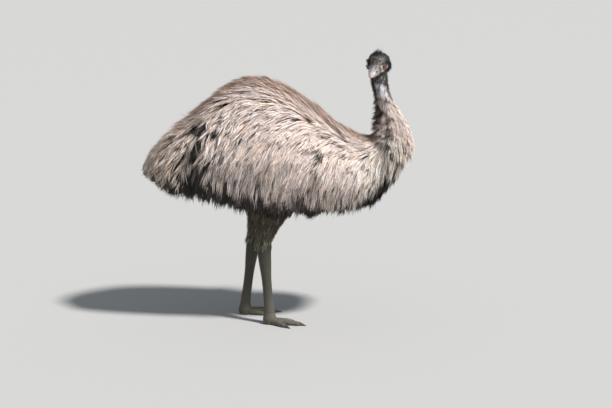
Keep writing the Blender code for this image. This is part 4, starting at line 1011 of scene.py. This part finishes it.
def toe_rings(start, ahead, across, length, half_width):
    """Rings along a toe: flat pads below, overlapping plates above and small scales at the sides."""
    angles = turns(TOE_AROUND)
    plates = round(length / TOE_PLATE_LENGTH)
    rings = []
    for share in np.linspace(0, 1, 150):
        end = 1 - 0.35 * smooth(share, 0.94, 1.0)
        wide = half_width * (1 - (1 - TOE_TAPER) * share) * (1 + 0.06 * math.cos(6 * math.pi * share)) * end
        step = (share * plates) % 1.0
        rise = np.clip(step * 8, 0, 1) * (0.5 + 0.5 * step) * np.clip((1 - step) * 10, 0, 1)
        top = smooth(np.cos(angles), 0.45, 0.8)
        small = cells(np.full(TOE_AROUND, share), angles / (2 * math.pi) % 1.0, plates * 2, 16)
        y = (wide + (1 - top) * small * 0.0006) * np.sin(angles)
        z = at_share(TOE_HEIGHTS, share) * (0.44 + 0.56 * np.cos(angles)) * end + top * rise * 0.0011
        rings.append(standing_ring(start + ahead * (length * share), across, y, np.maximum(z, 0.0002)))
    return rings


def standing_ring(middle, across, y, z):
    return middle + across * y[:, None] + np.array([0, 0, 1.0]) * z[:, None]


def claw_rings(start, ahead, across, length):
    """Rings and tip of a claw that curves down from the end of its toe."""
    angles = turns(32)
    base = start + ahead * (length - 0.003) + np.array([0, 0, CLAW_RADIUS + 0.0008])
    rings = []
    for share in np.linspace(0.0, 0.97, 40):
        radius = CLAW_RADIUS * (1 - 0.85 * share**1.3)
        middle = base + ahead * (CLAW_LENGTH * share) - np.array([0, 0, CLAW_DROOP * share**1.6])
        y, z = radius * 0.85 * np.sin(angles), radius * np.cos(angles) * (1 + 0.08 * np.cos(angles))
        rings.append(standing_ring(middle, across, y, np.maximum(z, 0.0006 - middle[2])))
    return rings, base + ahead * CLAW_LENGTH - np.array([0, 0, CLAW_DROOP])


def build_legs(finish):
    """Shanks and feet in one fine skin of scales on each side, with claws of their own."""
    horn = painted("claw_horn", 0.38, 0.5, 180.0, 0.25, 0.25, 0.0004)
    for side in SIDES:
        leg = grid_object(f"leg_{side}", shank_rings(side), finish)
        x, y, z = ANKLE[side]
        hub_rings = limb_rings((x, y, z + 0.004), (x, y, ANKLE_SOLE), ANKLE_SECTIONS, LEG_AROUND, HUB_ROWS)
        for i, ring in enumerate(hub_rings):
            small = cells(np.full(LEG_AROUND, i / HUB_ROWS), np.arange(LEG_AROUND) / LEG_AROUND, 9, 20)
            ring += unit(ring - ring.mean(axis=0)) * (small * 0.0009)[:, None]
        parts = [grid_object("hub", hub_rings, finish)]
        start = np.array([x, y, 0.0])
        for toe, (turn, length, half_width) in TOES.items():
            heading = math.radians(FOOT_TURN[side] - SIDES[side] * turn)
            ahead = np.array([math.cos(heading), math.sin(heading), 0.0])
            across = np.array([-ahead[1], ahead[0], 0.0])
            parts.append(grid_object("toe", toe_rings(start, ahead, across, length, half_width), finish))
            rings, tip = claw_rings(start, ahead, across, length)
            claw = grid_object(f"nail_{side}_{toe}", rings, horn, tip)
            far = (points_of(claw) - start) @ ahead - length
            set_colours(claw.data, mix(CLAW, CLAW_TIP, smooth(far, 0.015, CLAW_LENGTH)))
            dress(claw, "claw", f"claw_{side}_{toe}")
        combine(leg, parts)
        high = points_of(leg)[:, 2]
        colours = layered(FOOT, (SHANK, smooth(high, 0.03, 0.20)), (SHANK_TOP, smooth(high, 0.24, 0.36)))
        set_colours(leg.data, colours)
        only_finish(leg, finish)
        dress(leg, "leg", f"tarsus_{side}", f"foot_{side}")


def on_head(ahead, angle):
    """Roots and outward normals on the head's surface, in its own frame."""
    root = head_surface(ahead, angle)
    step = 1e-4
    by_ahead = head_surface(ahead + step, angle) - root
    by_angle = head_surface(ahead, angle + step) - root
    normal = unit(np.cross(by_angle, by_ahead))
    outward = (normal * (root - np.array([-0.015, 0, -0.002]))).sum(-1)
    return root, normal * np.sign(outward)[:, None]


def head_hair(count, aheads, angles):
    """Hair-like feathers over a stretch of the head, as a part for blade_piece."""
    ahead, angle = rng.uniform(*aheads, count), rng.uniform(*angles, count)
    root, normal = on_head(ahead, angle)
    height = root[:, 2]
    top = smooth(height, 0.002, 0.018)
    crown = top * (1 - smooth(ahead, -0.01, 0.012))
    forehead = top * smooth(ahead, -0.006, 0.01)
    nape = 1 - smooth(ahead, -0.048, -0.03)
    cheek = (1 - top) * (1 - nape)
    jaw = (1 - smooth(ahead, -0.022, -0.004)) * (1 - top)
    lores = smooth(ahead, 0.006, 0.016) * (1 - top) * smooth(height, -0.03, -0.022)
    wedge = np.abs(angle) < 1.05 - 0.66 * smooth(ahead, 0.016, 0.058) + rng.normal(0, 0.08, count)
    eye = round_eye(root)
    bare = np.max([
        oval(*eye, (0.0, -0.0015), (0.0135, 0.0098)),
        oval(*eye, (-0.011, -0.006), (0.013, 0.0062)),
        0.55 * lores,
        ((ahead > 0.018) & ~wedge) * (0.97 - 0.3 * lores),
        0.8 * smooth(ahead, 0.046, 0.062)], axis=0)
    keep = rng.uniform(0, 1, count) > bare
    long = 0.0115 + 0.011 * crown + 0.01 * nape + 0.008 * jaw - 0.003 * forehead
    long = long * rng.uniform(0.6, 1.35, count) * (1 - 0.45 * np.maximum(smooth(ahead, 0.016, 0.04), lores))
    aim = columns(-1.0 + 0.3 * jaw, 0.5 * np.sign(root[:, 1]) * jaw, -0.75 * cheek - 0.35 * nape)
    wild = rng.normal(0, 1, (count, 3)) * 0.15
    stand = (0.16 + 0.16 * crown + 0.16 * nape + 0.40 * jaw) * rng.uniform(0.3, 1.5, count)
    way = unit(unit(along_surface(aim, normal) + wild) + normal * stand[:, None])
    path = straight(root - normal * 0.0008, way, long, SHORT)
    curve = (0.20 - 0.14 * forehead) * long
    path = path - normal[:, None] * (curve[:, None] * SHORT**2)[..., None]
    path[..., 2] -= 0.25 * long[:, None] * SHORT**2 * (nape + cheek).clip(0, 1)[:, None]
    shade = rng.uniform(0.4, 1.7, count) * np.where(rng.uniform(0, 1, count) < 0.10, 3.0, 1.0)
    pale = rng.uniform(0, 1, count) < 0.30 + 0.25 * smooth(ahead, 0.02, 0.044)
    streaked = mix(FOREHEAD, FOREHEAD_PALE, pale)
    colour = layered(CHEEK, (CROWN, np.maximum(crown, nape)), (streaked, np.maximum(forehead, lores)))
    colour = colour * shade.clip(0, 4.5 - 3 * forehead)[:, None]
    colours = colour[:, None] * (0.55 + 0.55 * SHORT)[None, :, None]
    width = (0.0009 + 0.0003 * np.maximum(crown, nape)) * (1 - 0.35 * lores) * rng.uniform(0.7, 1.4, count)
    part = (in_world(path), normal @ head_axes(), colours, width, columns(ahead, angle))
    return [column[keep] for column in part]


def tuft(ahead, angle, aim, length, blades):
    """A tuft that stands off the head, as a part for blade_piece."""
    ahead, angle = ahead + rng.normal(0, 0.0035, blades), angle + rng.normal(0, 0.09, blades)
    root, out = on_head(ahead, angle)
    way = unit(unit(np.array(aim)) + rng.normal(0, 0.13, (blades, 3)))
    long = length * rng.uniform(0.5, 1.0, blades)
    path = straight(root - out * 0.0015, way, long, SHORT)
    path[..., 0] -= 0.30 * long[:, None] * SHORT**2
    colours = shades(CROWN, 0.5, 1.5, blades, np.ones(len(SHORT)))
    width = rng.uniform(0.0009, 0.0015, blades)
    return in_world(path), out @ head_axes(), colours, width, columns(ahead, angle)


def build_head_hair(finish):
    """Short hair-like feathers of the crown, nape and forehead, and of the cheeks, jaw and throat."""
    quarter = math.pi / 2
    crown = [head_hair(6200, (-0.066, 0.012), (-1.75, 1.75)), head_hair(2400, (-0.004, 0.04), (-1.05, 1.05)),
             head_hair(1500, (0.032, 0.062), (-0.85, 0.85)), *(tuft(*row) for row in TUFTS)]
    blade_piece("coat_crown", "neck_skin", crown, 0.0004, SHORT_PROFILE, finish)
    face = [head_hair(3600, (-0.066, 0.03), side) for side in ((quarter, math.pi), (-math.pi, -quarter))]
    face += [head_hair(800, (0.006, 0.036), side) for side in ((0.95, 2.1), (-2.1, -0.95))]
    blade_piece("coat_face", "neck_skin", face, 0.0004, SHORT_PROFILE, finish)


def bristles(count):
    """Dark, loose hairs that stand off the back and the front of the neck."""
    u = rng.uniform(12.2, 16.6, count)
    v = rng.normal(0, 0.42, count) + np.where(rng.uniform(0, 1, count) < 0.55, 0.0, math.pi)
    by_u, _, normal = body_frame(u, v, 0.0)
    stand = normal * rng.uniform(0.35, 1.05, count)[:, None]
    way = unit(-unit(by_u) + stand + rng.normal(0, 0.18, (count, 3)))
    long = (0.034 - 0.018 * smooth(u, 13.0, 15.5)) * rng.uniform(0.5, 1.2, count)
    path = straight(body_point(u, v, 0.6), way, long, SHORT)
    path[..., 2] -= 0.30 * long[:, None] * SHORT**2
    colours = shades(NECK_DARK, 0.35, 1.3, count, np.ones(len(SHORT)))
    return path, normal, colours, 0.0014 * rng.uniform(0.6, 1.3, count), columns(u, v)


def belly_tuft(count):
    """The dark tuft that hangs lowest, in the middle of the belly ahead of the legs; its dark is painted
    shade.
    """
    station = rng.uniform(7.35, 8.40, count)
    root = body_point(station, math.pi + rng.normal(0, 0.22, count), 0.5)
    tip = np.array(TUFT_TIP) + rng.normal(0, 1, (count, 3)) * [0.01, 0.01, 0.007]
    tip[:, 2] += rng.uniform(0, 0.035, count)
    path = root[:, None] + (tip - root)[:, None] * LONG[None, :, None]
    for axis, sway in ((0, 0.01), (1, 0.012)):
        path[..., axis] += sway * np.sin(math.pi * LONG) * rng.normal(0, 1, count)[:, None]
    out = unit(columns(rng.normal(0, 0.4, count), -1.0, 0.0))
    # painted shade: the tuft is coloured as the coat's shade
    colours = shades(PAINTED_COAT_SHADE, 0.5, 2.0, count, 0.6 + 0.5 * LONG)
    return path, out, colours, 0.0034 * rng.uniform(0.6, 1.3, count), columns(station, root[:, 1])


def thigh_blades(side, count):
    """Feathers round a thigh: painted shade darkens them toward the top, under the body; painted highlights
    lighten them toward the hock and make some blades light, more toward the hock.
    """
    top, hock = THIGH_TOP[side], HOCK[side]
    share = rng.uniform(0.30, 1.0, count) ** 0.9
    angle = rng.uniform(0, 2 * math.pi, count)
    long = (0.055 - 0.02 * share) * rng.uniform(0.6, 1.3, count)
    at = share[:, None] + (long / np.linalg.norm(hock - top))[:, None] * SHORT
    deep, wide = np.moveaxis(at_share(THIGH_SECTIONS, np.clip(at, 0, 1)), -1, 0)
    off = -0.006 + 0.012 * SHORT[None] ** 0.8 * rng.uniform(0.4, 1.3, count)[:, None]
    turn = angle[:, None] + rng.normal(0, 0.10, count)[:, None] * SHORT
    path = top + (hock - top) * at[..., None]
    path[..., 0] += (deep + off) * np.cos(turn)
    path[..., 1] += (wide + off) * np.sin(turn)
    out = unit(columns(np.cos(turn), np.sin(turn), 0.2))
    # painted shade toward the top, under the body, and painted highlight toward the hock
    base = mix(THIGH, THIGH_LIT, smooth(share, 0.60, 0.95))
    # painted highlights: some blades are made far lighter, more of them toward the hock
    shade = rng.uniform(0.25, 1.2, count) * np.where(rng.uniform(0, 1, count) < 0.14 + 0.16 * share, 2.6, 1.0)
    colours = (base * shade[:, None])[:, None] * (0.5 + 0.7 * SHORT)[None, :, None]
    return path, out, colours, 0.0028 * rng.uniform(0.6, 1.3, count), columns(share + SIDES[side], angle)


def wing_blades(sign, count):
    """The small wing's narrow feathers, lying over the flank on one side, dark only near its bend."""
    share = rng.uniform(0, 1, count)
    station, angle = (WING_SHOULDER + (WING_WRIST - WING_SHOULDER) * share[:, None]).T
    angle = -sign * (angle + rng.normal(0, 0.04, count))
    dark = bump_at(share, 0.24, 0.10) > rng.uniform(0.1, 1, count)
    by_u, _, normal = body_frame(station, angle, 0.0)
    way = along_surface(coat_lie(station, angle, by_u) + rng.normal(0, 0.12, (count, 3)), normal)
    long = rng.uniform(0.07, 0.14, count) * (1 - 0.3 * share) * np.where(dark, 0.5, 1.0)
    lift = (-0.004 + 0.028 * LONG**0.6)[None, :] * rng.uniform(0.8, 1.15, count)[:, None]
    path = straight(body_point(station, angle, np.where(dark, 0.12, 0.35)), way, long, LONG)
    path = path + normal[:, None] * lift[..., None]
    colours = shades(mix(FLANK, WING_DARK, dark)[:, None], 0.55, 1.2, count, 0.45 + 0.6 * LONG)
    return path, normal, colours, 0.0036 * rng.uniform(0.6, 1.3, count), columns(station + 3 * sign, angle)


def build_coat():
    coat = painted("coat_feather", 0.62, 0.30, 90.0, 0.18)
    half, side, under = math.pi, 1.15, 2.55
    coat_stretch("coat_tail", (0.05, 4.0), (-half, half), 0.0165, 0.15, 12, 0.0036, 0.0008, coat,
                 spread=0.0058, curl=0.014, tips=(-0.22, 0.14))
    coat_stretch("coat_back", (4.0, 9.6), (-side, side), 0.0168, 0.14, 10, 0.0034, 0.0008, coat,
                 spread=0.0066)
    for name, angles in (("coat_flank_right", (side, under)), ("coat_flank_left", (-under, -side))):
        coat_stretch(name, (4.0, 9.6), angles, 0.0152, 0.15, 12, 0.0032, 0.0008, coat, spread=0.0062)
    coat_stretch("coat_belly", (4.0, 9.8), (under, 2 * half - under), 0.024, 0.12, 11, 0.006, 0.0009, coat)
    coat_stretch("coat_breast", (9.6, 12.0), (-half, half), 0.0145, 0.12, 12, 0.003, 0.0008, coat,
                 spread=0.0062)
    coat_stretch("coat_neck_lower", (12.0, 14.9), (-half, half), 0.0112, 0.05, 13, 0.0018, 0.0005, coat,
                 spread=0.0062, curl=0.006, tips=(-0.55, 0.15), swing=0.24, fine=True)
    coat_stretch("coat_neck_upper", (14.9, 17.6), (-half, half), 0.008, 0.024, 8, 0.0013, 0.0004, coat,
                 spread=0.003, curl=0.003, tips=(-1.0, 0.2), swing=0.30, fine=True)
    coat_stretch("coat_tail_wisps", (0.05, 4.2), (-half, half), 0.036, 0.14, 2, 0.0022, 0.0006, coat,
                 spread=0.006, curl=0.022, tips=(-0.55, -0.15))
    blade_piece("coat_neck_bristles", "dark_coat", [bristles(BRISTLES)], 0.0005, SHORT_PROFILE, coat)
    blade_piece("coat_belly_tuft", "dark_coat", [belly_tuft(TUFT_BLADES)], 0.0008, LONG_PROFILE, coat)
    build_head_hair(coat)
    thighs = [thigh_blades(side, THIGH_BLADES) for side in SIDES]
    blade_piece("coat_thighs", "coat", thighs, 0.0006, SHORT_PROFILE, coat)
    wings = [wing_blades(sign, WING_BLADES) for sign in SIDES.values()]
    blade_piece("coat_wings", "dark_coat", wings, 0.0008, LONG_PROFILE, coat)


def build_stage():
    mesh = bpy.data.meshes.new("floor")
    corners = [(x * FLOOR_HALF, y * FLOOR_HALF, 0) for x, y in ((-1, -1), (1, -1), (1, 1), (-1, 1))]
    mesh.from_pydata(corners, [], [(0, 1, 2, 3)])
    made, _, _, shader = shader_of("floor_pale", 0.9, 0.2)
    shader.inputs["Base Color"].default_value = FLOOR_COLOUR
    floor = link("floor", mesh, made)
    floor.location = (0, 0, min(corner[2] for corner in cad_box))


def build_light():
    """A soft sun from the right and above, as in the photo, and a pale sky for fill."""
    sun = bpy.data.lights.new("key", "SUN")
    sun.energy, sun.angle, sun.color = SUN_ENERGY, SUN_ANGLE, SUN_COLOUR
    obj = bpy.data.objects.new("key", sun)
    obj.rotation_euler = Vector(SUN_WAY).to_track_quat("-Z", "Y").to_euler()
    bpy.context.scene.collection.objects.link(obj)
    world = bpy.context.scene.world or bpy.data.worlds.new("world")
    bpy.context.scene.world = world
    world.use_nodes = True
    back = world.node_tree.nodes["Background"]
    back.inputs["Color"].default_value = SKY_COLOUR
    back.inputs["Strength"].default_value = SKY_STRENGTH
    bpy.context.scene.view_settings.view_transform = "Standard"


def build_camera():
    camera = bpy.data.cameras.new("camera")
    camera.sensor_width = SENSOR_MM
    camera.lens = SENSOR_MM * CAMERA_FOCUS_PX / FRAME_WIDTH_PX
    camera.clip_end = SIGHT
    obj = bpy.data.objects.new("camera", camera)
    aim = np.array(CAMERA_AIM) + SHIFT
    obj.location = aim + CAMERA_FAR * np.array([0.0, -math.cos(CAMERA_RISE), math.sin(CAMERA_RISE)])
    obj.rotation_euler = (math.pi / 2 - CAMERA_RISE, 0.0, 0.0)
    bpy.context.scene.collection.objects.link(obj)
    bpy.context.scene.camera = obj


def main():
    build_camera()
    build_light()
    build_stage()
    skin = painted("skin_bare", 0.55, 0.35, 70.0, 0.16, 0.5, 0.001)
    horn = painted("bill_horn", 0.36, 0.45, 110.0, 0.10, 0.15, 0.0004)
    scale = painted("leg_scale", 0.58, 0.40, 150.0, 0.22, 0.35, 0.0006)
    build_skin(skin)
    build_eyes()
    build_bill(horn)
    build_legs(scale)
    build_coat()


main()
